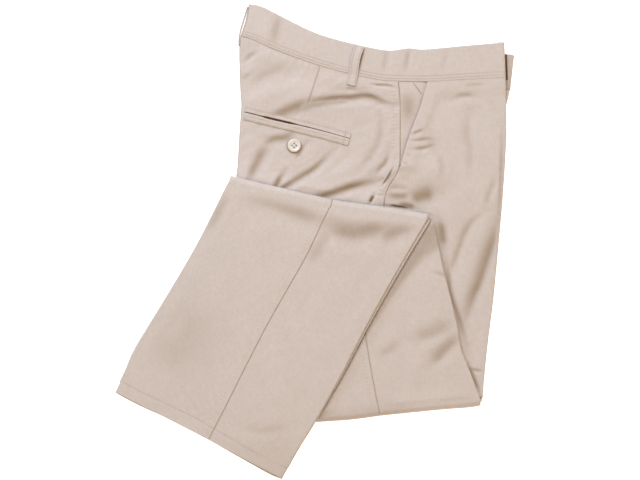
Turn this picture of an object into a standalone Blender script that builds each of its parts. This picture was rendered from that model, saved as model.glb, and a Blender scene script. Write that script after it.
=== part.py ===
"""Chino trousers, pressed, laid on their left side and folded twice across the legs.

The trunk and the thighs lie on the surface. Fold A, at the knees, turns the legs back up
over them. Fold B, at the shins, turns them down again. Three levels lie on each other:

  level 1  waistband to fold A, right side up: seat, hip, side pocket and back pocket
  level 2  fold A to fold B, left side up: the left knee
  level 3  fold B to the hem, right side up: the right shin, over the stack's edge

In each level a right leg and a left leg, each a pressed tube of two layers, lie on each
other. The panels that show are walls of their own. All the layers behind them are one
folded solid, and its edges show the second tube of each level.

All tables are in millimetres. +X runs from the seat to the front, +Y to the waist, +Z up.
The origin is on the surface, under the middle of the folded garment's box.
"""

import math

import bmesh
import bpy
import numpy as np
from mathutils import Matrix, Vector

MM = 0.001
MIDDLE = (1.0, 0.0)    # the middle of the garment's box, in the plan of the tables

# ---- cloth and stack ----
CLOTH = 1.2            # wall of one layer of twill
GAP = 0.3              # between neighbouring pieces
TUBE = 3.4             # a pressed leg tube at its crease
PANEL_TOP = 7.2        # top of the panels of level 1
LEVEL_RISE = 7.5       # from one level to the next
INNER_END = 3.0        # a panel stops this short of the inside of a fold
CREASE_TUCK = 5.5      # how far a panel runs in again under its crease
TURN_RADIUS = 7.35     # outside of the folds across the legs
HEM_DEPTH = 15.0       # turned-up hem
HEM_EXTRA = 0.8        # its second layer
DRAPE_RUN = 90.0       # plan length in which level 3 comes down to the surface
DRAPE_START = 2.0      # how far past the stack's edge it starts
COVERED_EDGE = 1.0     # cloth is flat under another level and this far past its outline
COVERED_FADE = 9.0     # and has its folds again this much further out

# ---- waistband, loops, pockets, button ----
BAND_WALL = 2.2
BAND_TOP = 10.0
WAIST_RISE = 1.0       # the panels come up to the waistband's seam
WAIST_RISE_WIDTH = 13.0
BAND_ROLL = 2.8
BAND_CORNER = 0.6
BAND_TUCK = 5.0        # how far its front end runs in again under itself
LOOP_WALL = 1.4
LOOP_BOW = 1.6
LOOP_STANDING_WIDTH = 10.0
LOOP_STEP = (190.5, 199.5)   # in y, where the side loop comes down off the band
WELT_WALL = 1.0
WELT_UPPER_WIDTH = 5.6
WELT_LOWER_WIDTH = 8.2
WELT_MOUTH = 1.6
WELT_SEAT = 0.4
BUTTON_RADIUS = 8.0
BUTTON_HOLE_RADIUS = 0.95
BUTTON_HOLE_OFFSET = 1.75
BUTTON_CENTRE = (-24.4, 115.2)
BUTTON_SEAT = 0.35

# ---- lines of the cut, in plan (x, y), from the waist down or from the seat to the front ----
WAIST_TOP = ((-79.0, 284.8), (-65.4, 282.6), (-44.5, 272.6), (-14.2, 257.2), (10.6, 247.1),
             (49.2, 236.8), (87.7, 229.6), (112.9, 232.2), (132.5, 230.8), (182.6, 235.3),
             (228.2, 239.3))
WAIST_SEAM = ((-88.8, 246.0), (-72.1, 240.8), (-50.0, 230.5), (-16.9, 218.2), (6.5, 210.4),
              (38.2, 201.6), (79.4, 193.2), (100.8, 191.9), (136.2, 191.5), (188.8, 194.3),
              (229.8, 196.2))
SEAM_AT_SIDE = 100.8   # where the side seam meets the waist seam
SEAM_AT_SLANT = 135.6  # where the pocket mouth meets it
LEFT_BAND_TOP = ((-77.0, 282.0), (-64.5, 279.5), (-43.5, 269.0), (-13.0, 252.5), (12.0, 242.0),
                 (50.0, 230.5), (88.0, 222.5), (133.0, 220.5), (183.0, 223.5), (232.2, 225.4),
                 (240.2, 223.8))
LEFT_BAND_SEAM = ((-87.0, 244.0), (-72.0, 238.5), (-50.0, 228.0), (-17.0, 214.8), (6.5, 206.0),
                  (38.0, 195.8), (79.0, 186.0), (136.0, 182.2), (189.0, 182.2), (235.7, 183.4))

SEAT_EDGE = ((-89.8, 245.0), (-90.6, 222.6), (-89.4, 184.2), (-88.2, 165.0), (-89.4, 145.8),
             (-91.2, 117.0), (-93.0, 88.2), (-97.6, 53.4), (-95.0, 26.0))
BACK_CREASE_1 = ((-95.0, 26.0), (-91.8, 8.0), (-77.4, -76.2), (-49.8, -219.0))
SIDE_SEAM = ((100.8, 191.3), (103.0, 168.6), (103.2, 129.0), (103.0, 100.2), (101.2, 87.0),
             (91.8, 70.2), (85.8, 57.5), (83.8, 43.8), (82.8, 28.0))
SIDE_SEAM_1 = ((82.8, 28.0), (82.0, 10.0), (79.8, -70.2), (79.2, -209.4))
POCKET_MOUTH = ((135.6, 191.3), (131.4, 176.8), (125.3, 156.8), (116.9, 135.4), (108.5, 110.2),
                (103.8, 91.0))
FRONT_EDGE = ((229.8, 195.2), (230.4, 157.8), (230.4, 121.8), (227.4, 69.0), (224.4, 30.0))
FRONT_CREASE_1 = ((224.4, 30.0), (222.6, 11.4), (215.4, -65.4), (208.2, -123.0),
                  (203.4, -171.0), (202.0, -196.8))
LEFT_FRONT_EDGE = ((235.7, 183.4), (233.5, 172.2), (231.0, 163.2), (229.9, 150.0),
                   (229.8, 121.8), (226.8, 69.0), (222.0, 11.4), (214.8, -65.4),
                   (207.6, -123.0), (202.8, -171.0), (201.6, -196.8))
LEFT_SEAT_EDGE = ((-87.6, 243.6), (-89.8, 222.6), (-88.6, 184.2), (-88.6, 145.8),
                  (-92.2, 88.2), (-97.0, 53.4), (-92.2, 13.8), (-76.6, -76.2), (-49.2, -218.6))

FOLD_A = ((-49.8, -219.0), (-11.4, -217.8), (42.6, -214.2), (79.8, -209.4), (114.6, -205.8),
          (150.6, -202.2), (187.8, -199.2), (201.6, -196.8))
FOLD_B = ((-98.0, 78.6), (-65.2, 70.3), (-23.9, 61.0), (24.4, 50.2), (79.4, 42.4),
          (140.6, 32.6))
BACK_CREASE_2 = ((-97.8, 76.2), (-89.4, 31.8), (-73.8, -70.2), (-49.8, -219.0))
SIDE_SEAM_2 = ((30.5, 46.8), (45.0, -28.2), (61.0, -112.8), (71.5, -173.0), (79.1, -209.4))
FRONT_CREASE_2 = ((141.2, 33.0), (145.6, 12.6), (153.8, -28.7), (162.0, -61.8),
                  (170.3, -96.6), (176.5, -130.0), (186.8, -156.6), (201.6, -196.8))
BACK_CREASE_3 = ((-98.4, 77.5), (-105.6, 66.8), (-124.6, 28.9), (-145.9, -11.4),
                 (-186.2, -80.3), (-214.7, -127.7), (-236.2, -170.8), (-238.2, -181.1))
SIDE_SEAM_3 = ((26.4, 49.6), (18.5, 40.7), (1.0, 4.4), (-12.1, -22.2), (-53.4, -94.6),
               (-81.8, -149.0), (-105.6, -196.6), (-127.0, -238.1))
FRONT_CREASE_3 = ((136.2, 33.2), (96.8, -33.4), (57.4, -104.2), (27.6, -163.4),
                  (-2.6, -217.9), (-21.2, -248.8), (-41.6, -283.8))
HEM = ((-238.2, -181.1), (-210.0, -196.6), (-155.4, -222.6), (-127.0, -238.1),
       (-91.3, -258.2), (-55.8, -278.0), (-41.6, -283.8))
LEFT_FRONT_CREASE_3 = ((140.6, 32.6), (100.2, -33.4), (60.0, -104.2), (29.4, -163.4),
                       (-1.2, -217.9), (-20.2, -248.8), (-40.6, -285.4))
LEFT_HEM = ((-239.6, -181.6), (-210.0, -197.4), (-155.4, -223.2), (-91.3, -258.8),
            (-55.8, -279.0), (-40.6, -285.4))
SIDE_LOOP = ((54.6, 235.3), (49.5, 220.0), (46.8, 201.0), (43.6, 187.4))
SIDE_LOOP_WIDTH = 11.0
CENTRE_LOOP = ((-81.3, 282.6), (-84.7, 271.4), (-87.6, 262.2), (-90.1, 253.1), (-91.3, 246.1),
               (-91.7, 241.6), (-91.9, 235.0))
WELT_MOUTH_LINE = ((-83.8, 155.6), (-51.4, 147.4), (-25.2, 141.4), (10.6, 132.6),
                   (42.4, 123.6))

# ---- folds in the cloth: a bent line in plan, its reach to either side, its height ----
# columns: x0, y0, x1, y1, bend of the line at its middle, reach, height (a trough is negative)
FOLDS_LEVEL_1 = (
    (-86.0, 200.0, -50.0, 232.0, 0.0, 11.0, 1.4),      # under the waist seam at the seat
    (-72.0, 160.0, -22.0, 205.0, -6.0, 13.0, -1.0),    # trough beside it
    (-60.0, 182.0, 0.0, 190.0, 4.0, 22.0, 1.2),        # swell above the back pocket
    (-38.0, 160.0, 58.0, 179.0, 3.0, 6.0, -0.9),       # crease under the waist, from the dart
    (58.0, 179.0, 82.0, 168.0, 2.0, 6.0, -0.9),        # its end at the side seam
    (-10.0, 163.0, 66.0, 160.0, 4.0, 12.0, 1.2),       # swell below the crease
    (-62.0, 122.0, -76.0, 80.0, 3.0, 8.0, -1.0),       # trough beside the seat edge
    (-30.0, 98.0, -48.0, 76.0, 3.0, 10.0, 1.3),        # swell left of the button's trough
    (-10.0, 116.0, -42.0, 70.0, 4.0, 7.0, -1.0),       # trough from the button to fold B
    (24.0, 114.0, -38.0, 68.0, 3.0, 7.0, -1.0),        # long trough to the same place
    (70.0, 104.0, 10.0, 86.0, -6.0, 20.0, 2.2),        # broad swell of the back thigh
    (76.0, 75.0, 4.0, 56.0, 5.0, 9.0, -1.0),           # trough along fold B
    (92.0, 108.0, 70.0, 80.0, 3.0, 6.0, -0.9),         # beside the side seam
    (84.0, 128.0, 80.0, 108.0, 0.0, 9.0, 1.0),
    (118.0, 70.0, 146.0, 58.0, -3.0, 13.0, -1.1),      # dent beside the side seam's bend
    (150.0, 84.0, 168.0, 40.0, 4.0, 20.0, 1.6),        # swell of the front thigh
    (160.0, 170.0, 188.0, 178.0, 0.0, 10.0, -0.9),     # dents below the waist at the front
    (186.0, 154.0, 182.0, 118.0, 0.0, 11.0, -0.8),
    (219.0, 34.0, 194.0, -40.0, 4.0, 10.0, -0.9),      # troughs of the front thigh
    (178.0, 8.0, 164.0, -34.0, 3.0, 9.0, -0.8),
    (198.0, -60.0, 184.0, -150.0, 3.0, 10.0, -0.7),
)
FOLDS_BAND = (
    (-41.0, 272.0, -48.0, 236.0, 0.0, 7.0, -0.6),
    (88.0, 230.0, 86.0, 200.0, 0.0, 7.0, -0.7),
    (111.0, 231.0, 107.0, 200.0, 0.0, 6.0, -0.5),
    (158.0, 230.0, 150.0, 204.0, 0.0, 9.0, -0.4),
)
FOLDS_LEVEL_2 = (
    (150.0, -60.0, 120.0, -150.0, 4.0, 24.0, 1.0),
    (112.0, -96.0, 104.0, -180.0, 0.0, 9.0, -0.6),
)
FOLDS_LEVEL_3 = (
    (-92.0, 62.0, 130.0, 22.0, 0.0, 9.0, 2.2),         # roll of the cloth after fold B
    (-70.0, 38.0, 84.0, 12.0, -3.0, 9.0, -0.8),        # trough under the roll
    (-100.0, 30.0, -180.0, -110.0, 0.0, 26.0, 0.8),    # long swells down the leg
    (60.0, -20.0, -20.0, -170.0, 0.0, 26.0, 1.0),
    (-40.0, 0.0, -120.0, -150.0, 0.0, 16.0, -0.5),
)
DOME = 1.8                      # how much higher the trunk is in its middle
DOME_CENTRE = (60.0, 130.0)
DOME_REACH = (130.0, 120.0)
FOLD_FADE = 8.0                 # and towards a fold across the leg in this one
EDGE_FADE = 16.0                # the cloth lies down towards a crease in this width
POCKET_LIFT = 1.7               # the front panel stands this far over the pocket's facing
POCKET_LIFT_WIDTH = 11.0
POCKET_LIFT_FADE = 12.0
POCKET_LIFT_BELOW = 9.0         # the lift starts this far below the mouth's end
POCKET_UNDERLAP = 8.0           # the facing runs in under the front panel

CLOTH_COLOUR = (0.68, 0.60, 0.53, 1.0)
INNER_COLOUR = (0.55, 0.47, 0.40, 1.0)
BUTTON_COLOUR = (0.78, 0.72, 0.64, 1.0)


# ---- lines and grids in plan ----

def resample(points, fractions):
    """Points at the given fractions of a line's length."""
    points = np.asarray(points, float)
    steps = np.linalg.norm(np.diff(points, axis=0), axis=1)
    along = np.concatenate(([0.0], np.cumsum(steps)))
    along /= along[-1]
    columns = [np.interp(fractions, along, points[:, axis]) for axis in range(points.shape[1])]
    return np.stack(columns, axis=1)


def smooth(points, finer=10):
    """A dense smooth line through the given points."""
    points = np.asarray(points, float)
    padded = np.vstack([2 * points[0] - points[1], points, 2 * points[-1] - points[-2]])
    dense = []
    for a, b, c, d in zip(padded, padded[1:], padded[2:], padded[3:]):
        for t in np.linspace(0.0, 1.0, finer, endpoint=False):
            bend = 2 * b + (c - a) * t + (2 * a - 5 * b + 4 * c - d) * t * t
            dense.append(0.5 * (bend + (3 * b - a - 3 * c + d) * t ** 3))
    dense.append(points[-1])
    return np.array(dense)


def line(points, count):
    """Evenly spaced points of a smooth line."""
    return resample(smooth(points), np.linspace(0.0, 1.0, count))


def part_of(points, x_from, x_to, count):
    """Evenly spaced points of the part of a smooth line between two values of x."""
    dense = smooth(points)
    inside = dense[(dense[:, 0] > x_from) & (dense[:, 0] < x_to)]
    ends = [[x, np.interp(x, dense[:, 0], dense[:, 1])] for x in (x_from, x_to)]
    return resample(np.vstack([ends[0], inside, ends[1]]), np.linspace(0.0, 1.0, count))


def joined(*lines):
    """Lines end to end, with the shared points kept once."""
    return np.vstack([lines[0]] + [following[1:] for following in lines[1:]])


def shifted(points, distance):
    """A line moved sideways in plan, to its left where the distance is positive."""
    along = np.gradient(points, axis=0)
    along /= np.linalg.norm(along, axis=1, keepdims=True)
    return points + distance * np.stack([-along[:, 1], along[:, 0]], axis=1)


def plan(left, right, count, top=None, bottom=None, down=None):
    """Grid of plan points between two lines, rows bent like the top and bottom lines."""
    across = np.linspace(0.0, 1.0, count)
    grid = left[:, None] * (1 - across)[None, :, None] + right[:, None] * across[None, :, None]
    if down is None:
        down = np.linspace(0.0, 1.0, len(left))
    for edge, weight in ((top, 1.0 - down), (bottom, down)):
        if edge is None:
            continue
        edge = resample(edge, across)
        chord = edge[0] * (1 - across)[:, None] + edge[-1] * across[:, None]
        grid = grid + weight[:, None, None] * (edge - chord)[None]
    return grid


def step(value):
    """0 below 0, 1 above 1, and smooth between."""
    t = np.clip(value, 0.0, 1.0)
    return t * t * (3.0 - 2.0 * t)


def distance_to_line(x, y, points):
    """Distance in plan to an open line of points."""
    nearest = np.full(np.shape(x), 1e9)
    for (ax, ay), (bx, by) in zip(points, points[1:]):
        run_x, run_y = bx - ax, by - ay
        t = ((x - ax) * run_x + (y - ay) * run_y) / (run_x ** 2 + run_y ** 2)
        t = np.clip(t, 0.0, 1.0)
        nearest = np.minimum(nearest, np.hypot(x - ax - t * run_x, y - ay - t * run_y))
    return nearest


def outside(x, y, outline):
    """Distance in plan outside a closed outline, negative inside it."""
    inside = np.zeros(np.shape(x), bool)
    ring = list(outline) + [outline[0]]
    for (ax, ay), (bx, by) in zip(ring, ring[1:]):
        crosses = (ay > y) != (by > y)
        at_x = ax + (y - ay) * (bx - ax) / (by - ay if by != ay else 1e-9)
        inside ^= crosses & (x < at_x)
    distance = distance_to_line(x, y, ring)
    return np.where(inside, -distance, distance)


# ---- heights of the cloth ----

def folds(x, y, table):
    """Sum of the soft ridges and troughs of a table."""
    height = np.zeros(np.shape(x))
    for x0, y0, x1, y1, bend, reach, rise in table:
        length = math.hypot(x1 - x0, y1 - y0)
        along_x, along_y = (x1 - x0) / length, (y1 - y0) / length
        t = ((x - x0) * along_x + (y - y0) * along_y) / length
        side = (y - y0) * along_x - (x - x0) * along_y
        side = side - bend * 4.0 * np.clip(t, 0.0, 1.0) * (1.0 - np.clip(t, 0.0, 1.0))
        past = np.maximum(np.maximum(-t, t - 1.0), 0.0) * length
        height = height + rise * np.exp(-(side / reach) ** 2 - (past / reach) ** 2)
    return height


STACK = [tuple(p) for p in joined(line(BACK_CREASE_2, 8), line(FOLD_A, 8),
                                  line(FRONT_CREASE_2, 8)[::-1], line(FOLD_B, 8)[::-1])[:-1]]
TOP_LEG = [tuple(p) for p in joined(line(BACK_CREASE_3, 8), line(HEM, 8),
                                    line(LEFT_FRONT_CREASE_3, 8)[::-1],
                                    line(FOLD_B, 8)[::-1])[:-1]]
TRUNK = [tuple(p) for p in joined(line(SEAT_EDGE, 8), line(BACK_CREASE_1, 6), line(FOLD_A, 8),
                                  line(FRONT_CREASE_1, 8)[::-1], line(FRONT_EDGE, 6)[::-1],
                                  line(WAIST_SEAM, 12)[::-1])[:-1]]


def unit(a, b):
    """Unit vector in plan, square to the line from a to b, on its left."""
    run = np.subtract(b, a)
    run = run / np.linalg.norm(run)
    return np.array([-run[1], run[0]])


OUT_A = -unit(FOLD_A[0], FOLD_A[-1])
OUT_B = unit(FOLD_B[0], FOLD_B[-1])
BASE_A = line(((-56.0, -219.2),) + FOLD_A + ((210.0, -195.4),), 30) - OUT_A * TURN_RADIUS
BASE_B = line(((-108.0, 80.8),) + FOLD_B + ((150.0, 31.0),), 30) - OUT_B * TURN_RADIUS


def past(x, y, base, out):
    """How far past a fold's base line a place lies."""
    limit = np.interp(x, base[:, 0], (base - base[0]) @ out)
    return (x - base[0][0]) * out[0] + (y - base[0][1]) * out[1] - limit


def waist_rise(x, y):
    """How far the panels of level 1 come up to the waistband."""
    seam_y = np.interp(x, smooth(WAIST_SEAM)[:, 0], smooth(WAIST_SEAM)[:, 1])
    return WAIST_RISE * (1.0 - step((seam_y - y) / WAIST_RISE_WIDTH))


def facing_height(x, y):
    """Top of level 1 without what the waistband and the pocket mouth add."""
    bare = step((outside(x, y, STACK) - COVERED_EDGE) / COVERED_FADE)
    rim = step(-outside(x, y, TRUNK) / EDGE_FADE)
    dome = DOME * np.exp(-((x - DOME_CENTRE[0]) / DOME_REACH[0]) ** 2
                         - ((y - DOME_CENTRE[1]) / DOME_REACH[1]) ** 2)
    return PANEL_TOP + bare * rim * (dome + folds(x, y, FOLDS_LEVEL_1))


def height_1(x, y):
    """Top of the back panel of level 1, flat where level 2 lies on it."""
    return facing_height(x, y) + waist_rise(x, y)


def height_front(x, y):
    """Top of the front panel, which stands over the facing along the pocket mouth."""
    mouth = smooth(POCKET_MOUTH)[::-1]
    beside = x - np.interp(y, mouth[:, 1], mouth[:, 0])
    lift = 1.0 - step((beside - POCKET_LIFT_WIDTH) / POCKET_LIFT_FADE)
    above_end = y - POCKET_MOUTH[-1][1] + POCKET_LIFT_BELOW
    lift = POCKET_LIFT * lift * step(above_end / (POCKET_LIFT_BELOW + 1.0))
    return facing_height(x, y) + np.maximum(waist_rise(x, y), lift)


def height_2(x, y):
    """Top of the panels of level 2, flat where level 3 lies on them."""
    bare = step((outside(x, y, TOP_LEG) - COVERED_EDGE) / COVERED_FADE)
    rim = step(-outside(x, y, STACK) / EDGE_FADE) * step(-past(x, y, BASE_A, OUT_A) / FOLD_FADE)
    return PANEL_TOP + LEVEL_RISE + bare * rim * folds(x, y, FOLDS_LEVEL_2)


def support(x, y):
    """What level 3 lies on: the stack, or the surface beside it."""
    run = (outside(x, y, STACK) - DRAPE_START) / DRAPE_RUN
    return 2.0 * LEVEL_RISE * (1.0 - step(run))


def height_3(x, y):
    """Top of the panels of level 3."""
    rim = step(-outside(x, y, TOP_LEG) / EDGE_FADE) * step(-past(x, y, BASE_B, OUT_B) / FOLD_FADE)
    return PANEL_TOP + support(x, y) + rim * folds(x, y, FOLDS_LEVEL_3)


# ---- walls of cloth ----

class Cloth:
    """A grid of points on the outside of a piece, with each column's drop below the top."""

    def __init__(self, grid, height, carried_by=None):
        x, y = grid[..., 0], grid[..., 1]
        self.points = np.dstack([x, y, height(x, y)])
        self.drop = np.zeros(grid.shape[1])
        slope_x = (height(x + 1.0, y) - height(x - 1.0, y)) / 2
        slope_y = (height(x, y + 1.0) - height(x, y - 1.0)) / 2
        self.laid = np.dstack([-slope_x, -slope_y, np.ones(x.shape)])
        self.laid_rows = [0, grid.shape[0]]
        self.laid_columns = [0, grid.shape[1]]
        self.carried_by = carried_by

    def crease(self, at_right, radius=TUBE / 2, tuck=CREASE_TUCK, turns=4, fold_row=None):
        """Roll one side down over a pressed crease and run in again under it."""
        base = self.points[:, -1 if at_right else 0]
        beside = self.points[:, -2 if at_right else 1]
        along = np.gradient(base[:, :2], axis=0)
        out = np.stack([-along[:, 1], along[:, 0]], axis=1)
        out /= np.linalg.norm(out, axis=1, keepdims=True)
        out *= np.sign(np.sum(out * (base - beside)[:, :2], axis=1))[:, None]
        if fold_row is not None:
            row_run = (base - beside)[fold_row, :2]
            out[fold_row] = row_run / np.linalg.norm(row_run)
        columns = []
        drops = []
        for turn in range(1, turns + 1):
            angle = math.pi * turn / turns
            columns.append((radius * math.sin(angle), radius * (1.0 - math.cos(angle))))
        if tuck:
            columns.append((-tuck, 2.0 * radius))
        added = []
        for sideways, down in columns:
            moved = base.copy()
            moved[:, :2] += out * sideways
            moved[:, 2] -= down
            if self.carried_by:
                moved[:, 2] += self.carried_by(moved[:, 0], moved[:, 1])
                moved[:, 2] -= self.carried_by(base[:, 0], base[:, 1])
            added.append(moved)
            drops.append(down)
        added = np.stack(added, axis=1)
        if at_right:
            self.points = np.concatenate([self.points, added], axis=1)
            self.drop = np.concatenate([self.drop, drops])
        else:
            self.points = np.concatenate([added[:, ::-1], self.points], axis=1)
            self.drop = np.concatenate([drops[::-1], self.drop])
            self.laid_columns = [edge + len(drops) for edge in self.laid_columns]

    def turn(self, at_end, out, radius=TURN_RADIUS, turns=6):
        """Carry the first or last row round a fold across the leg."""
        base = self.points[-1 if at_end else 0]
        top = base[:, 2] + self.drop
        reach = radius - self.drop
        rows = []
        for number in range(1, turns + 1):
            angle = math.pi * number / turns
            row = base.copy()
            row[:, :2] += np.outer(reach * math.sin(angle), out)
            row[:, 2] = top - radius + reach * math.cos(angle)
            rows.append(row)
        rows = np.stack(rows)
        if at_end:
            self.points = np.concatenate([self.points, rows])
        else:
            self.points = np.concatenate([rows[::-1], self.points])
            self.laid_rows = [edge + turns for edge in self.laid_rows]

    def normals(self):
        """Outward direction at each point of the grid."""
        down = np.gradient(self.points, axis=0)
        across = np.gradient(self.points, axis=1)
        normal = np.cross(down, across)
        rows, columns = slice(*self.laid_rows), slice(*self.laid_columns)
        normal[rows, columns] = self.laid
        return normal / np.linalg.norm(normal, axis=2, keepdims=True)

    def solid(self, name, material, wall=CLOTH):
        """The closed wall behind the grid, as an object."""
        inner = self.points - self.normals() * np.asarray(wall)[..., None]
        return shell(name, self.points, inner, material)


def placed(point):
    """A point of the tables' frame, in metres from the origin."""
    return Vector((point[0] - MIDDLE[0], point[1] - MIDDLE[1], point[2])) * MM


def shell(name, outer, inner, material):
    """Closed mesh between two grids of the same size, the first one facing out."""
    rows, columns = outer.shape[:2]
    mesh = bmesh.new()
    sheets = []
    for grid in (outer, inner):
        sheets.append([[mesh.verts.new(placed(point)) for point in row] for row in grid])
    front, back = sheets
    for r in range(rows - 1):
        for c in range(columns - 1):
            mesh.faces.new((front[r][c], front[r + 1][c], front[r + 1][c + 1], front[r][c + 1]))
            mesh.faces.new((back[r][c], back[r][c + 1], back[r + 1][c + 1], back[r + 1][c]))
    rim = [(0, c) for c in range(columns)]
    rim += [(r, columns - 1) for r in range(1, rows)]
    rim += [(rows - 1, c) for c in range(columns - 2, -1, -1)]
    rim += [(r, 0) for r in range(rows - 2, 0, -1)]
    for (r0, c0), (r1, c1) in zip(rim, rim[1:] + rim[:1]):
        mesh.faces.new((front[r0][c0], front[r1][c1], back[r1][c1], back[r0][c0]))
    return finished(name, mesh, material)


def finished(name, mesh, material):
    """A mesh made into an object, smooth but for its real edges."""
    bmesh.ops.recalc_face_normals(mesh, faces=mesh.faces)
    data = bpy.data.meshes.new(name)
    mesh.to_mesh(data)
    mesh.free()
    data.shade_smooth()
    data.set_sharp_from_angle(angle=math.radians(50))
    data.materials.append(material)
    made = bpy.data.objects.new(name, data)
    bpy.context.collection.objects.link(made)
    return made


def make_material(name, colour, roughness):
    """A Principled material."""
    material = bpy.data.materials.new(name)
    material.use_nodes = True
    shader = material.node_tree.nodes["Principled BSDF"]
    shader.inputs["Base Color"].default_value = colour
    shader.inputs["Roughness"].default_value = roughness
    shader.inputs["Metallic"].default_value = 0.0
    return material


# ---- the folded layers behind the panels ----

HALF_TUBE = 3.5        # top of the lower tube of a level
LAYERS_TOP = 4.6       # top of the layers behind the panels
LAYERS_COLUMNS = 16
LAYERS_RECESS = 12.0   # the upper layers stand back behind a panel's crease
RECESS_LEVEL_3 = 16.0
TUBE_SETBACK = 0.5     # the lower tube of levels 1 and 2 stands back this little
RECESS_AT_WAIST = 20.0
NOSE_LAYERS = 5.6      # outer radius of the layers inside a fold across the legs
NOSE_LEDGE = 0.9       # the layers stop this short of a panel that turns round a fold
NOSE_MIDDLE = 3.75     # radius of the line between the two tubes there
NOSE_INNER = 1.3       # and of the inside
RAMP_SLACK = 1.1       # the layers are thinner by this above and below where they drape
ROUND_EDGE = 1.7       # how far the rounded edge of a tube stands out
ROUND_STEPS = (0.12, 0.5, 0.88)         # places of its points between its two heights
BAND_LAYERS = (2.8, 3.4)                # bottom and middle of the layers inside the waistband
BAND_LAYERS_LIFT = (12.0, 0.2)          # how far above the seam their two stations lie
SEAM_GAP = 2.0 * GAP   # the panels stop this short of the waistband


class Station:
    """One ring of the folded layers: a line in plan and three heights on it."""

    def __init__(self, points, first, middle, second, insets):
        self.points = np.asarray(points, float)
        self.levels = first, middle, second      # each (plan shift, heights)
        self.insets = insets                     # of the first and the second half

    def place(self, fraction, level):
        """The point at a fraction of the line, on one of the levels."""
        shift, heights = level
        x, y = resample(self.points, [fraction])[0]
        z = np.interp(fraction, np.linspace(0.0, 1.0, len(self.points)), heights)
        return np.array([x + shift[0], y + shift[1], z])

    @staticmethod
    def depth(level, following):
        """How far two levels lie apart at their start."""
        sideways = np.linalg.norm(np.subtract(following[0], level[0]))
        return abs(following[1][0] - level[1][0]) + sideways

    def ring(self):
        """Points round the ring, along the first surface and back along the second."""
        length = np.sum(np.linalg.norm(np.diff(self.points, axis=0), axis=1))
        first, middle, second = self.levels
        depth = self.depth(first, middle)
        bulge_first = min(depth / 2, ROUND_EDGE)
        depth = self.depth(middle, second)
        bulge_second = min(depth / 2, ROUND_EDGE)
        start_first = (self.insets[0] + bulge_first) / length
        start_second = (self.insets[1] + bulge_second) / length
        points = []
        for fraction in np.linspace(start_first, 1.0 - start_first, LAYERS_COLUMNS):
            points.append(self.place(fraction, first))
        points += self.side(1.0 - start_first, first, middle, bulge_first / length)
        points.append(self.place(1.0 - start_first, middle))
        points.append(self.place(1.0 - start_second, middle))
        points += self.side(1.0 - start_second, middle, second, bulge_second / length)
        for fraction in np.linspace(1.0 - start_second, start_second, LAYERS_COLUMNS):
            points.append(self.place(fraction, second))
        points += self.side(start_second, second, middle, -bulge_second / length)
        points.append(self.place(start_second, middle))
        points.append(self.place(start_first, middle))
        points += self.side(start_first, middle, first, -bulge_first / length)
        return points

    def side(self, fraction, start, end, bulge):
        """The rounded edge of a half, between two of its heights."""
        points = []
        for t in ROUND_STEPS:
            beside = fraction + bulge * math.sin(math.pi * t)
            points.append(self.place(fraction, start) * (1 - t) + self.place(fraction, end) * t
                          + self.place(beside, start) - self.place(fraction, start))
        return points


def flat_station(points, bottom, middle, top, upside_down, insets):
    """A station of a level that lies flat."""
    level = np.ones(len(points))
    still = (0.0, 0.0)
    lower, upper = (still, bottom * level), (still, top * level)
    if upside_down:
        return Station(points, upper, (still, middle * level), lower, insets)
    return Station(points, lower, (still, middle * level), upper, insets)


def draped_station(points):
    """A station of level 3, which comes down over the edge of the stack."""
    x, y = points[:, 0], points[:, 1]
    past = outside(x, y, STACK)
    slack = RAMP_SLACK * step((past + 12.0) / 10.0) * (1.0 - step((past - DRAPE_RUN) / 10.0))
    carried = support(x, y)
    still = (0.0, 0.0)
    return Station(points, (still, carried + slack), (still, carried + HALF_TUBE - 1.5 * slack),
                   (still, carried + LAYERS_TOP - slack), (0.0, RECESS_LEVEL_3))


def fold_stations(base, out, centre, outer_first, insets, turns=6):
    """The stations round a fold across the legs."""
    stations = []
    rising = 1.0 if outer_first else -1.0
    for number in range(turns + 1):
        angle = math.pi * number / turns
        inward, up = math.sin(angle), -math.cos(angle)
        levels = []
        for radius, back in ((NOSE_LAYERS, NOSE_LEDGE), (NOSE_MIDDLE, NOSE_LEDGE),
                             (NOSE_INNER, NOSE_INNER)):
            push = radius * inward - back
            shift = (out[0] * push, out[1] * push)
            levels.append((shift, centre + np.full(len(base), radius * up)))
        if not outer_first:
            levels.reverse()
        stations.append(Station(base, levels[0], levels[1], levels[2], insets))
    return stations


def crossing(points, reach, index):
    """The point between an index and the next where the reach is nil."""
    t = reach[index] / (reach[index] - reach[index + 1])
    return points[index] + t * (points[index + 1] - points[index])


def cut(points, count, from_b=False, to_a=False):
    """Evenly spaced points of a line, cut where it meets the base lines of the folds."""
    dense = smooth(points, 24)
    if from_b:
        reach = past(dense[:, 0], dense[:, 1], BASE_B, OUT_B)
        start = int(np.argmax(reach < 0.0))
        dense = np.vstack([crossing(dense, reach, start - 1), dense[start:]])
    if to_a:
        reach = past(dense[:, 0], dense[:, 1], BASE_A, OUT_A)
        end = int(np.argmax(reach > 0.0))
        dense = np.vstack([dense[:end], crossing(dense, reach, end - 1)])
    return resample(dense, np.linspace(0.0, 1.0, count))


def inset(points, distance, count, to_a=False):
    """A crease line from fold B's base line on, moved in by a distance."""
    return cut(shifted(smooth(points), distance)[::10], count, from_b=True, to_a=to_a)


def base_row(base, left, right, count):
    """The stretch of a fold's base line between two points of it."""
    return part_of(base, left[0], right[0], count)


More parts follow.
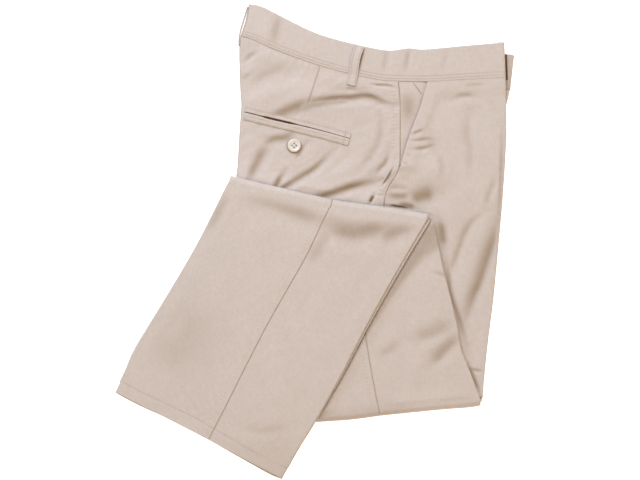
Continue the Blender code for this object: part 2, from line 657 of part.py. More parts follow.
def hidden_layers(material):
    """All layers that the folds hide, one solid swept from the waist to the hems."""
    stations = []
    columns = LAYERS_COLUMNS + 4

    left_1 = cut(LEFT_SEAT_EDGE, 12, to_a=True)
    right_1 = cut(LEFT_FRONT_EDGE, 12, to_a=True)
    rows_1 = plan(left_1, right_1, columns, top=line(LEFT_BAND_SEAM, columns),
                  bottom=base_row(BASE_A, left_1[-1], right_1[-1], columns))
    rows_1[-1] -= OUT_A * NOSE_LEDGE
    waist = rows_1[0]
    for lift in BAND_LAYERS_LIFT:
        under_band = waist + np.array([0.0, lift])
        stations.append(flat_station(under_band, *BAND_LAYERS, LAYERS_TOP, False,
                                     (RECESS_AT_WAIST, RECESS_AT_WAIST)))
    rows_1[0] -= np.array([0.0, SEAM_GAP + GAP])
    for number, row in enumerate(rows_1):
        recess = LAYERS_RECESS if number > 2 else RECESS_AT_WAIST
        stations.append(flat_station(row, 0.0, HALF_TUBE, LAYERS_TOP, False,
                                     (TUBE_SETBACK, recess)))

    centre_a = TURN_RADIUS
    stations += fold_stations(rows_1[-1] + OUT_A * NOSE_LEDGE, OUT_A, centre_a, True,
                              (LAYERS_RECESS, TUBE_SETBACK))

    left_2 = cut(BACK_CREASE_2, 6, from_b=True, to_a=True)[::-1]
    right_2 = cut(FRONT_CREASE_2, 6, from_b=True, to_a=True)[::-1]
    rows_2 = plan(left_2, right_2, columns,
                  top=base_row(BASE_A, left_2[0], right_2[0], columns),
                  bottom=base_row(BASE_B, left_2[-1], right_2[-1], columns))
    rows_2[-1] -= OUT_B * NOSE_LEDGE
    for row in rows_2:
        stations.append(flat_station(row, LEVEL_RISE, LEVEL_RISE + HALF_TUBE,
                                     LEVEL_RISE + LAYERS_TOP, True,
                                     (LAYERS_RECESS, TUBE_SETBACK)))

    centre_b = LEVEL_RISE + TURN_RADIUS
    stations += fold_stations(rows_2[-1] + OUT_B * NOSE_LEDGE, OUT_B, centre_b, False,
                              (TUBE_SETBACK, RECESS_AT_WAIST))

    left_3 = cut(BACK_CREASE_3, 19, from_b=True)
    right_3 = cut(LEFT_FRONT_CREASE_3, 19, from_b=True)
    rows_3 = plan(left_3, right_3, columns, bottom=line(LEFT_HEM, columns),
                  top=base_row(BASE_B, left_3[0], right_3[0], columns))
    for row in rows_3:
        stations.append(draped_station(row))
    return swept("hidden_layers", [station.ring() for station in stations], material)


def swept(name, rings, material):
    """Closed mesh through the rings of the stations, with both ends filled."""
    mesh = bmesh.new()
    loops = [[mesh.verts.new(placed(point)) for point in ring] for ring in rings]
    size = len(rings[0])
    for before, after in zip(loops, loops[1:]):
        for k in range(size):
            mesh.faces.new((before[k], before[(k + 1) % size], after[(k + 1) % size], after[k]))
    for loop in (loops[0], loops[-1]):
        fill_end(mesh, loop)
    return finished(name, mesh, material)


def fill_end(mesh, loop):
    """Fill a station's ring: strips between its two surfaces, and its two rounded sides."""
    half = len(loop) // 2
    first = loop[:LAYERS_COLUMNS]
    second = loop[half:half + LAYERS_COLUMNS][::-1]
    for k in range(LAYERS_COLUMNS - 1):
        mesh.faces.new((first[k], first[k + 1], second[k + 1], second[k]))
    mesh.faces.new(loop[LAYERS_COLUMNS - 1:half + 1])
    mesh.faces.new(loop[half + LAYERS_COLUMNS - 1:] + loop[:1])


# ---- panels ----

ROWS_SEEN = 20         # rows from the waist to fold B
ROWS_BELOW = 5         # rows on to fold A
KNEE_COVERED = 4.0     # the left back panel stops this short of its crease, out of sight


def level_1_lanes():
    """Edges and seams of level 1, with the same rows on each."""
    rolled = TUBE / 2
    seat = joined(line(SEAT_EDGE, ROWS_SEEN), cut(BACK_CREASE_1, ROWS_BELOW, to_a=True))
    seam = joined(line(SIDE_SEAM, ROWS_SEEN), cut(SIDE_SEAM_1, ROWS_BELOW, to_a=True))
    front = joined(line(FRONT_EDGE, ROWS_SEEN), cut(FRONT_CREASE_1, ROWS_BELOW, to_a=True))
    return shifted(seat, rolled), seam, shifted(front, -rolled)


def right_back_seat(material):
    """Back panel of the right leg, waist to fold A."""
    seat, seam, _ = level_1_lanes()
    waist = part_of(WAIST_SEAM, -87.0, SEAM_AT_SIDE, 24)
    grid = plan(seat, shifted(seam, -GAP / 2), 20, top=waist,
                bottom=base_row(BASE_A, seat[-1], seam[-1], 20))
    grid[0, :, 1] -= SEAM_GAP
    grid[-1] -= OUT_A * INNER_END
    cloth = Cloth(grid, height_1)
    cloth.crease(at_right=False)
    return cloth.solid("right_back_seat", material)


def mouth_beside(seam):
    """The pocket mouth's points level with a seam's, for the rows that it reaches."""
    mouth = smooth(POCKET_MOUTH)[::-1]
    reached = seam[:, 1] > POCKET_MOUTH[-1][1]
    x = np.interp(seam[:, 1], mouth[:, 1], mouth[:, 0])
    return reached, np.stack([x, seam[:, 1]], axis=1)


def right_front_thigh(material):
    """Front panel of the right leg, waist to fold A, cut away at the pocket mouth."""
    _, seam, front = level_1_lanes()
    reached, mouth = mouth_beside(seam)
    left = np.where(reached[:, None], mouth, shifted(seam, GAP / 2))
    waist = part_of(WAIST_SEAM, SEAM_AT_SLANT, 228.0, 12)
    grid = plan(left, front, 12, top=waist,
                bottom=base_row(BASE_A, left[-1], front[-1], 12))
    grid[0, :, 1] -= SEAM_GAP
    grid[-1] -= OUT_A * INNER_END
    cloth = Cloth(grid, height_front)
    cloth.crease(at_right=True)
    return cloth.solid("right_front_thigh", material)


def side_pocket_facing(material):
    """The cloth in the mouth of the side pocket, between the side seam and the mouth."""
    _, seam, _ = level_1_lanes()
    reached, mouth = mouth_beside(seam)
    left = shifted(seam, GAP / 2)[reached]
    right = mouth[reached] + np.array([POCKET_UNDERLAP, 0.0])
    grid = plan(left, right, 6)
    grid[0, :, 1] -= SEAM_GAP
    return Cloth(grid, facing_height).solid("side_pocket_facing", material)


def knee_panel(name, left, right, columns, material):
    """A panel of level 2, from inside fold B round the outside of fold A."""
    grid = plan(left, right, columns, top=base_row(BASE_B, left[0], right[0], columns),
                bottom=base_row(BASE_A, left[-1], right[-1], columns))
    grid[0] -= OUT_B * INNER_END
    cloth = Cloth(grid, height_2)
    if name == "left_front_knee":
        cloth.crease(at_right=True, fold_row=-1)
    cloth.turn(True, OUT_A)
    return cloth.solid(name, material)


def knee_panels(material):
    """Back and front panels of the left leg at the knee."""
    rows = 12
    back = inset(BACK_CREASE_2, KNEE_COVERED, rows, to_a=True)
    seam = cut(SIDE_SEAM_2, rows, from_b=True, to_a=True)
    front = inset(FRONT_CREASE_2, -TUBE / 2, rows, to_a=True)
    knee_panel("left_back_knee", back, shifted(seam, -GAP / 2), 6, material)
    knee_panel("left_front_knee", shifted(seam, GAP / 2), front, 10, material)


def shin_panel(name, left, right, columns, creased_right, material):
    """A panel of level 3, from the underside of fold B to the hem."""
    hem = smooth(HEM)
    grid = plan(left, right, columns, top=base_row(BASE_B, left[0], right[0], columns))
    cloth = Cloth(grid, height_3, support)
    cloth.crease(at_right=creased_right, fold_row=0)
    cloth.turn(False, OUT_B)
    to_hem = distance_to_line(cloth.points[..., 0], cloth.points[..., 1], hem)
    wall = CLOTH + HEM_EXTRA * (to_hem < HEM_DEPTH)
    return cloth.solid(name, material, wall)


def shin_panels(material):
    """Back and front panels of the right leg at the shin."""
    rows = 23
    back = inset(BACK_CREASE_3, TUBE / 2, rows)
    seam = cut(SIDE_SEAM_3, rows, from_b=True)
    front = inset(FRONT_CREASE_3, -TUBE / 2, rows)
    shin_panel("right_back_shin", back, shifted(seam, -GAP / 2), 12, False, material)
    shin_panel("right_front_shin", shifted(seam, GAP / 2), front, 12, True, material)


# ---- waistband and loops ----

def band_height(x, y):
    """Top of the right half of the waistband, with its soft creases."""
    return BAND_TOP + folds(x, y, FOLDS_BAND)


def waistband_right(material):
    """The half of the waistband that lies on top, rolled in at both of its ends."""
    down = np.array([0.0, 0.04, 0.5, 0.96, 1.0])
    left = resample([WAIST_TOP[0], (-82.5, 265.0), WAIST_SEAM[0]], down)
    left[:, 0] += BAND_ROLL
    right = resample([WAIST_TOP[-1], WAIST_SEAM[-1]], down)
    right[:, 0] -= BAND_ROLL
    top = part_of(WAIST_TOP, -77.0, 226.0, 26)
    bottom = part_of(WAIST_SEAM, -86.0, 227.0, 26)
    cloth = Cloth(plan(left, right, 26, top=top, bottom=bottom, down=down), band_height)
    cloth.points[0, :, 2] -= BAND_CORNER
    cloth.points[-1, :, 2] -= BAND_CORNER
    cloth.crease(False, BAND_ROLL, 0.0)
    cloth.crease(True, BAND_ROLL, BAND_TUCK)
    return cloth.solid("waistband_right", material, BAND_WALL)


def waistband_left(material):
    """The half of the waistband that lies on the surface."""
    down = np.linspace(0.0, 1.0, 4)
    left = resample([LEFT_BAND_TOP[0], LEFT_BAND_SEAM[0]], down)
    right = resample([LEFT_BAND_TOP[-1], LEFT_BAND_SEAM[-1]], down)
    grid = plan(left, right, 22, top=line(LEFT_BAND_TOP, 22), bottom=line(LEFT_BAND_SEAM, 22),
                down=down)
    cloth = Cloth(grid, lambda x, y: np.full(x.shape, BAND_WALL))
    return cloth.solid("waistband_left", material, BAND_WALL)


def side_loop_height(x, y):
    """Top of the side belt loop: over the waistband, then down to the panel."""
    middle = (SIDE_LOOP[0][1] + SIDE_LOOP[2][1]) / 2
    reach = (SIDE_LOOP[0][1] - SIDE_LOOP[2][1]) / 2
    bow = LOOP_BOW * np.clip(1.0 - ((y - middle) / reach) ** 2, 0.0, 1.0)
    low = height_1(x, y) + 0.1
    over = step((y - LOOP_STEP[0]) / (LOOP_STEP[1] - LOOP_STEP[0]))
    return LOOP_WALL + GAP + low + (BAND_TOP - low + bow) * over


def belt_loop_side(material):
    """The belt loop over the waistband near the side seam."""
    centre = line(SIDE_LOOP, 12)
    half = SIDE_LOOP_WIDTH / 2
    grid = plan(shifted(centre, -half), shifted(centre, half), 4)
    return Cloth(grid, side_loop_height).solid("belt_loop_side", material, LOOP_WALL)


def belt_loop_centre_back(material):
    """The belt loop at the centre back, standing on its edge at the fold of the band."""
    outer_line = line(CENTRE_LOOP, 14)
    inner_line = shifted(outer_line, LOOP_WALL - 0.1)
    heights = GAP + np.linspace(0.0, LOOP_STANDING_WIDTH, 4)
    grids = []
    for points in (outer_line, inner_line):
        grid = np.zeros((len(points), len(heights), 3))
        grid[..., :2] = points[:, None]
        grid[..., 2] = heights[None]
        grids.append(grid)
    return shell("belt_loop_centre_back", grids[0], grids[1], material)


# ---- back pocket ----

def welt(name, near, far, material):
    """A welt of the back pocket, between two distances from its mouth."""
    mouth = line(WELT_MOUTH_LINE, 18)
    grid = np.stack([shifted(mouth, distance) for distance in np.linspace(far, near, 3)])
    raised = Cloth(grid, lambda x, y: height_1(x, y) + WELT_SEAT + WELT_WALL)
    inner = raised.points - np.array([0.0, 0.0, WELT_WALL])
    return shell(name, raised.points, inner, material)


def welts(material):
    """Upper and lower welt, with the pocket's mouth between them."""
    half = WELT_MOUTH / 2
    welt("welt_upper", half, half + WELT_UPPER_WIDTH, material)
    welt("welt_lower", -half - WELT_LOWER_WIDTH, -half, material)


BUTTON_PROFILE = (      # columns: radius, height
    (6.6, 0.0), (7.7, 0.5), (8.0, 1.2), (7.6, 2.2), (6.7, 2.6), (5.6, 2.3), (4.6, 1.9),
)
BUTTON_SIDES = 28
HOLE_SIDES = 10


def pocket_button(material):
    """The four-hole button under the back pocket, flat on the panel."""
    mesh = bmesh.new()
    rings = []
    for radius, height in BUTTON_PROFILE:
        ring = []
        for k in range(BUTTON_SIDES):
            angle = 2.0 * math.pi * k / BUTTON_SIDES
            point = Vector((radius * math.cos(angle), radius * math.sin(angle), height))
            ring.append(mesh.verts.new(point * MM))
        rings.append(ring)
    for low, high in zip(rings, rings[1:]):
        for k in range(BUTTON_SIDES):
            after = (k + 1) % BUTTON_SIDES
            mesh.faces.new((low[k], low[after], high[after], high[k]))
    mesh.faces.new(rings[0][::-1])
    mesh.faces.new(rings[-1])
    button = finished("pocket_button", mesh, material)
    for number, (side_x, side_y) in enumerate(((1, 1), (-1, 1), (-1, -1), (1, -1))):
        bpy.ops.mesh.primitive_cylinder_add(vertices=HOLE_SIDES, depth=8.0 * MM,
                                            radius=BUTTON_HOLE_RADIUS * MM)
        hole = bpy.context.object
        hole.name = f"button_hole_cutter_{number}"
        hole.location = Vector((side_x, side_y, 0.0)) * BUTTON_HOLE_OFFSET * MM
        hole.hide_render = True
        hole.display_type = "WIRE"
        hole.parent = button
        drilled = button.modifiers.new(f"hole_{number}", "BOOLEAN")
        drilled.object = hole
        drilled.solver = "EXACT"
    x, y = BUTTON_CENTRE
    reach = np.array([-1.0, 1.0])
    slope_x = np.diff(height_1(x + BUTTON_RADIUS * reach, np.full(2, y)))[0]
    slope_y = np.diff(height_1(np.full(2, x), y + BUTTON_RADIUS * reach))[0]
    normal = Vector((-slope_x, -slope_y, 2.0 * BUTTON_RADIUS)).normalized()
    base = float(height_1(np.array([x]), np.array([y]))[0]) + BUTTON_SEAT
    turn = normal.to_track_quat("Z", "Y").to_matrix().to_4x4()
    button.matrix_world = Matrix.Translation(placed((x, y, base))) @ turn
    return button


def build():
    """Every piece of the folded garment."""
    twill = make_material("cotton_twill", CLOTH_COLOUR, 0.85)
    inner = make_material("cotton_twill_inner", INNER_COLOUR, 0.9)
    resin = make_material("button_resin", BUTTON_COLOUR, 0.35)
    hidden_layers(inner)
    right_back_seat(twill)
    right_front_thigh(twill)
    side_pocket_facing(twill)
    knee_panels(twill)
    shin_panels(twill)
    waistband_right(twill)
    waistband_left(twill)
    belt_loop_side(twill)
    belt_loop_centre_back(twill)
    welts(twill)
    pocket_button(resin)


for old in list(bpy.data.objects):
    bpy.data.objects.remove(old, do_unlink=True)
build()
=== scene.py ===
"""Chino trousers, pressed, laid on their left side and folded twice across the legs.

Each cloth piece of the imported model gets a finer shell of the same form, with its creases,
seams, stitches and weave. The tables are in millimetres, in plan: +X runs from the seat to
the front, +Y to the waist. Only the finer creases are placed in steps of the view. Level 1 is
the trunk and thighs, level 2 the knees, level 3 the shins. Fold A lies at the knees, fold B
at the shins.
"""

import math

import bmesh
import bpy
import numpy as np
from mathutils import Matrix, Vector


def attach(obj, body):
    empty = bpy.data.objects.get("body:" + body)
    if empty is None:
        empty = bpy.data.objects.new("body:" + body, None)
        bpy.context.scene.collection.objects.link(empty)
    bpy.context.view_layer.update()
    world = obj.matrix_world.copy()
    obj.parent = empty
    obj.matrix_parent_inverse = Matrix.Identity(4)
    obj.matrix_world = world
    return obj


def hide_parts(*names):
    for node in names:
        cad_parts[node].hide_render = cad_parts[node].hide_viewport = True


bl_info = {
    "name": "Folded chino trousers",
    "version": (1, 0, 0),
    "blender": (4, 5, 0),
    "location": "3D View > Sidebar > Chinos",
    "description": "Cloth, seams, stitches and button of folded chino trousers",
    "category": "Object",
}

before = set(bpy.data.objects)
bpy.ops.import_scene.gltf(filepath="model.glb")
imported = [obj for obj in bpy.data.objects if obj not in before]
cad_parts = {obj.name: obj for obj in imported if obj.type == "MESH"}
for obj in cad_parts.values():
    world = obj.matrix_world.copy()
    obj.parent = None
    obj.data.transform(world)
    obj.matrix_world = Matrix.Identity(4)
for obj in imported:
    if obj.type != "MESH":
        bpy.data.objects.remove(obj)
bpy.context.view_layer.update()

MM = 0.001
VIEW_STEP = 1.2         # mm: creases are placed in steps of the view, across and down
VIEW_MIDDLE = (314.5, 241.5)
MIDDLE = (1.0, 0.0)    # the middle of the garment's box, in the plan of the tables
BODY = "root"

# ---- cloth and stack, in millimetres ----
GAP = 0.3
TUBE = 3.4             # a pressed leg tube at its crease
PANEL_TOP = 7.2        # top of the panels of level 1
LEVEL_RISE = 7.5       # from one level to the next
INNER_END = 3.0        # a panel stops this short of the inside of a fold
CREASE_TUCK = 5.5      # how far a panel runs in again under its crease
CREASE_TURNS = 8       # steps round a pressed crease
TURN_RADIUS = 7.35     # outside of the folds across the legs
FOLD_TURNS = 18        # steps of the panels round a fold across the legs
DRAPE_RUN = 120.0      # plan length in which level 3 comes down to the surface
DRAPE_START = 2.0
COVERED_EDGE = 1.0     # cloth is flat under another level and this far past its outline
COVERED_FADE = 9.0
HEM_DEPTH = 15.0
BAND_TOP = 9.6
BAND_WALL = 2.2
BAND_ROLL = 2.8
BAND_TUCK = 5.0
WAIST_RISE = 2.1       # the panels come up to the waistband's seam
WAIST_RISE_WIDTH = 26.0
LOOP_WALL = 1.4
CENTRE_LOOP_WALL = 2.0
LOOP_BOW = 1.6
LOOP_STANDING_WIDTH = 10.0
LOOP_STEP = (190.5, 199.5)
WELT_WALL = 1.0
WELT_UPPER_WIDTH = 5.6
WELT_LOWER_WIDTH = 8.2
WELT_SEAT = 0.4
BUTTON_CENTRE = (-24.4, 115.2)
BUTTON_SEAT = 0.35
POCKET_LIFT = 1.7      # the front panel stands this far over the pocket's facing
POCKET_LIFT_WIDTH = 11.0
POCKET_LIFT_FADE = 12.0
POCKET_LIFT_BELOW = 9.0
POCKET_UNDERLAP = 8.0
SEAM_RUN_IN = 0.6      # the panels run in under the waistband by this

# ---- lines of the cut, from the waist down or from the seat to the front ----
WAIST_TOP = (
    (-79, 284.8), (-65.4, 282.6), (-44.5, 272.6), (-14.2, 257.2), (10.6, 247.1), (49.2, 236.8),
    (87.7, 229.6), (112.9, 232.2), (132.5, 230.8), (182.6, 235.3), (228.2, 239.3))
WAIST_SEAM = (
    (-88.8, 246), (-72.1, 240.8), (-50, 230.5), (-16.9, 218.2), (6.5, 210.4), (38.2, 201.6),
    (79.4, 193.2), (100.8, 191.9), (136.2, 191.5), (188.8, 194.3), (229.8, 196.2))
SEAM_AT_SIDE = 100.8
SEAM_AT_SLANT = 135.6
LEFT_BAND_TOP = (
    (-77, 282), (-64.5, 279.5), (-43.5, 269), (-13, 252.5), (12, 242), (50, 230.5), (88, 222.5),
    (133, 220.5), (183, 223.5), (232.2, 225.4), (240.2, 223.8))
LEFT_BAND_SEAM = (
    (-87, 244), (-72, 238.5), (-50, 228), (-17, 214.8), (6.5, 206), (38, 195.8), (79, 186),
    (136, 182.2), (189, 182.2), (235.7, 183.4))
SEAT_EDGE = (
    (-89.8, 245), (-90.6, 222.6), (-89.4, 184.2), (-88.2, 165), (-89.4, 145.8), (-91.2, 117),
    (-93, 88.2), (-97.6, 53.4), (-95, 26))
BACK_CREASE_1 = ((-95, 26), (-91.8, 8), (-77.4, -76.2), (-49.8, -219))
SIDE_SEAM = (
    (100.8, 191.3), (103, 168.6), (103.2, 129), (103, 104.2), (102.6, 95), (101.2, 86.8),
    (98.4, 80.2), (94.8, 74.6), (91, 68.6), (87.6, 62.4), (85.4, 55.8), (84.2, 47.8), (83.4, 38),
    (82.8, 28))
SIDE_SEAM_1 = ((82.8, 28), (82, 10), (79.8, -70.2), (79.2, -209.4))
POCKET_MOUTH = (
    (135.6, 191.3), (131.4, 176.8), (125.3, 156.8), (116.9, 135.4), (108.5, 110.2), (103.8, 91))
FRONT_EDGE = ((229.8, 195.2), (230.4, 157.8), (230.4, 121.8), (227.4, 69), (224.4, 30))
FRONT_CREASE_1 = (
    (224.4, 30), (222.6, 11.4), (215.4, -65.4), (208.2, -123), (203.4, -171), (202, -196.8))
LEFT_FRONT_EDGE = (
    (235.7, 183.4), (233.5, 172.2), (231, 163.2), (229.9, 150), (229.8, 121.8), (226.8, 69),
    (222, 11.4), (214.8, -65.4), (207.6, -123), (202.8, -171), (201.6, -196.8))
LEFT_SEAT_EDGE = (
    (-87.6, 243.6), (-89.8, 222.6), (-88.6, 184.2), (-88.6, 145.8), (-92.2, 88.2), (-97, 53.4),
    (-92.2, 13.8), (-76.6, -76.2), (-49.2, -218.6))
FOLD_A = (
    (-49.8, -219), (-11.4, -217.8), (42.6, -214.2), (79.8, -209.4), (114.6, -205.8),
    (150.6, -202.2), (187.8, -199.2), (201.6, -196.8))
FOLD_B = (
    (-98, 78.6), (-65.2, 70.3), (-23.9, 61), (24.4, 50.2), (79.4, 42.4), (140.6, 32.6))
BACK_CREASE_2 = ((-97.8, 76.2), (-89.4, 31.8), (-73.8, -70.2), (-49.8, -219))
SIDE_SEAM_2 = ((30.5, 46.8), (45, -28.2), (61, -112.8), (71.5, -173), (79.1, -209.4))
FRONT_CREASE_2 = (
    (141.2, 33), (145.6, 12.6), (153.8, -28.7), (162, -61.8), (170.3, -96.6), (176.5, -130),
    (186.8, -156.6), (201.6, -196.8))
BACK_CREASE_3 = (
    (-98.4, 77.5), (-105.6, 66.8), (-124.6, 28.9), (-145.9, -11.4), (-186.2, -80.3),
    (-214.7, -127.7), (-226.6, -154.6), (-239.4, -181))
SIDE_SEAM_3 = (
    (26.4, 49.6), (18.5, 40.7), (1, 4.4), (-12.1, -22.2), (-53.4, -94.6), (-81.8, -149),
    (-105.6, -196.6), (-127, -238.1))
FRONT_CREASE_3 = (
    (139.4, 33.2), (100.2, -33.4), (60.8, -104.2), (30.4, -163.4), (-1, -217.9), (-19.6, -248.8),
    (-40, -283.8))
HEM = ((-239.4, -181), (-210, -196.6), (-155.4, -222.6), (-127, -238.1),
       (-91.3, -258.2), (-55.8, -278), (-41.6, -283.8))
LEFT_FRONT_CREASE_3 = (
    (143.6, 32.6), (103.6, -33.4), (63.4, -104.2), (32.2, -163.4), (0.4, -217.9), (-18.6, -248.8),
    (-39, -285.4))
LEFT_HEM = (
    (-239.6, -181.6), (-210, -197.4), (-155.4, -223.2), (-91.3, -258.8), (-55.8, -279),
    (-40.6, -285.4))
SIDE_LOOP = ((54.6, 235.3), (49.5, 220), (46.8, 201), (43.6, 187.4))
SIDE_LOOP_WIDTH = 11.0
CENTRE_LOOP = (
    (-81.3, 282.6), (-84.7, 271.4), (-87.6, 262.2), (-90.1, 253.1), (-91.3, 246.1),
    (-91.7, 241.6), (-91.9, 235))
WELT_MOUTH_LINE = (
    (-83.8, 155.6), (-51.4, 147.4), (-25.2, 141.4), (10.6, 132.6), (42.4, 123.6))
DART = ((6.5, 209.9), (-1.8, 184.2), (-10.1, 159))

# ---- large soft folds: x0, y0, x1, y1, bend, reach, height ----
FOLDS_LEVEL_1 = (
    (-86, 200, -50, 232, 0, 11, 1.4),
    (-72, 160, -22, 205, -6, 13, -0.3),
    (-66, 168, -2, 180, 4, 17, 2.2),
    (-38, 160, 58, 179, 3, 6, -0.9),
    (58, 179, 82, 168, 2, 6, -0.9),
    (-10, 158, 72, 152, 6, 12, 0.8),
    (-62, 122, -76, 80, 3, 8, -1),
    (-22, 94, -46, 64, 2, 10, 1.2),
    (-10, 116, -42, 70, 4, 7, -1),
    (24, 114, -38, 68, 3, 7, -1),
    (86, 90, -4, 60, -3, 15, 1.8),
    (76, 72, 0, 53, 4, 7, -0.9),
    (92, 108, 70, 80, 3, 6, -0.9),
    (84, 128, 80, 108, 0, 9, 1),
    (118, 70, 146, 58, -3, 13, -1.1),
    (112, 88, 150, 82, 0, 14, 1),
    (150, 84, 168, 40, 4, 20, 1.2),
    (160, 170, 188, 178, 0, 10, -0.9),
    (186, 154, 182, 118, 0, 11, -0.8),
    (219, 34, 194, -40, 4, 10, -0.9),
    (178, 8, 164, -34, 3, 9, -0.8),
    (198, -60, 184, -150, 3, 10, -0.7),
)
FOLDS_BAND = (
    (-41, 272, -48, 236, 0, 7, -0.6),
    (88, 230, 86, 200, 0, 7, -0.7),
    (111, 231, 107, 200, 0, 6, -0.5),
    (158, 230, 150, 204, 0, 9, -0.4),
)
FOLDS_LEVEL_2 = (
    (150, -60, 120, -150, 4, 24, 1),
    (112, -96, 104, -180, 0, 9, -0.6),
    (110, -205, 200, -196, 0, 18, 1.3),
    (120, -128, 172, -104, 0, 14, -0.8),
)
FOLDS_LEVEL_3 = (
    (-96, 62, 134, 22, 0, 13, 1.6),
    (-74, 34, 96, 4, -3, 15, -1),
    (-100, 30, -180, -110, 0, 26, 0.8),
    (50, -20, -30, -170, 0, 26, 0.5),
    (-40, 0, -120, -150, 0, 16, -0.5),
    (-6, -262, -60, -226, 0, 26, -0.5),
)
DOME = 1.8
DOME_CENTRE = (60.0, 130.0)
DOME_REACH = (130.0, 120.0)
KNEE_SWELL = 1.6       # level 2 stands up beside the edge of level 3
FOLD_GAIN = 1.25       # the cloth's folds are sharper than the solids'
FOLD_FADE = 8.0
ROLL_FADE = 22.0
SWELL = 4.2            # level 1 rises towards fold B, pressed up by the levels on it
SWELL_REACH = (13.0, 3.6)   # above the fold and under it
SWELL_SPAN = (-96.0, 90.0)  # from the seat to the front
SWELL_FADE = 16.0
EDGE_FADE = 16.0

# ---- finer creases: points and reach to the left and right of them, in steps of the view,
# then height in millimetres and shade ----
CREASES_BACK = (
    # waist crease, left stretch
    (((268, 117), (280, 113), (290, 109), (300, 105.5), (312, 102)), 4, 6.4, -1.2, 0.5),
    # waist crease
    (((302, 104), (312, 101), (322, 99.3), (332, 97.8), (342, 96.8), (352, 96.6), (362, 95.2),
      (370, 95.6), (377, 98.4), (384, 101.5), (392, 103.5), (399, 103.5)), 2.6, 4.2, -1.2, 0.62),
    # its lower branch
    (((318, 104.5), (330, 103), (342, 101.6), (354, 99.5)), 2.2, 2.8, -0.4, 0.34),
    # soft shade under it
    (((286, 114), (296, 110), (306, 106.5), (318, 103.5), (330, 102),
      (345, 101)), 5, 6, -0.4, 0.34),
    # below the dart
    (((306, 110), (312, 106.5), (318, 104.3), (327, 103.8)), 1.6, 2, -0.5, 0.34),
    # under the side loop
    (((344, 88.5), (350, 88), (358, 88.8)), 1.6, 1.8, -0.3, 0.2),
    # beside the side loop
    (((370, 83), (378, 84.2), (387, 84.4), (397, 86.8)), 1.2, 1.6, -0.5, 0.5),
    # valley over the back pocket
    (((249, 88), (256, 81), (265, 75), (276, 70), (290, 65)), 5, 5, -0.5, 0.15),
    # short creases at the seat
    (((241, 82), (245, 77), (252, 71)), 2.2, 2.4, -0.4, 0.14),
    (((243, 62), (249, 56), (258, 50.5)), 2.4, 2.6, -0.5, 0.24),
    # under the back pocket
    (((262, 147), (268, 142), (275, 138.6), (284, 137.4), (291, 134.5),
      (297, 131)), 3.6, 4.6, -0.9, 0.46),
    # bent crease at the seat
    (((247, 186), (251, 174), (257, 162), (263, 152), (270, 142)), 4, 5.2, -1.1, 0.42),
    # left branch over fold B
    (((262, 210), (268, 198), (273.5, 188.5), (278, 181), (282, 174),
      (286, 168)), 3, 3.4, -1.1, 0.62),
    # right branch over fold B
    (((258, 208), (270, 198), (282, 188), (291, 182.5), (300, 177), (309, 171.5), (316, 166.5),
      (322, 161), (328, 155), (335, 149)), 2.8, 3.4, -1.3, 0.52),
    # under the button
    (((293, 160), (297, 155.5), (303, 146.5), (308, 141.5)), 1.6, 1.8, -0.5, 0.26),
    # broad crease along fold B
    (((292, 204), (306, 201), (319, 197), (330, 193.5), (341, 189.6), (351, 186.2),
      (362, 183.4), (372, 181), (380, 179)), 3.6, 4.2, -1.2, 0.66),
    # soft bands beside the side seam
    (((349, 174), (358, 168.5), (364, 163.5), (369, 157), (374, 149), (378, 141), (380.5, 130),
      (380, 118), (378, 108)), 3.4, 4, -0.6, 0.18),
    (((375, 175), (380, 168), (385, 162.5), (388.5, 153)), 2, 2.4, -0.6, 0.34),
    # slit beside the bend of the side seam
    (((392.4, 167.5), (387.3, 177.3), (381.2, 185.8)), 0.85, 0.85, -2, 0.85),
    # dark corner at fold B
    (((374.6, 194.5), (372, 199), (369.6, 203.6)), 1, 2.4, -1.4, 1),
    # end of the allowances
    (((375.5, 193.5), (380, 194.2), (385, 194)), 0.8, 0.9, -0.5, 0.3),
    # puckers over the welt
    (((283.5, 112), (286, 106)), 0.9, 1, -0.35, 0.2),
    (((289.5, 114), (292, 106.5)), 0.9, 1, -0.4, 0.24),
    (((296.5, 115.5), (299, 108)), 0.9, 1, -0.4, 0.2),
    (((303.5, 117), (306, 110.5)), 0.9, 1, -0.35, 0.16),
)
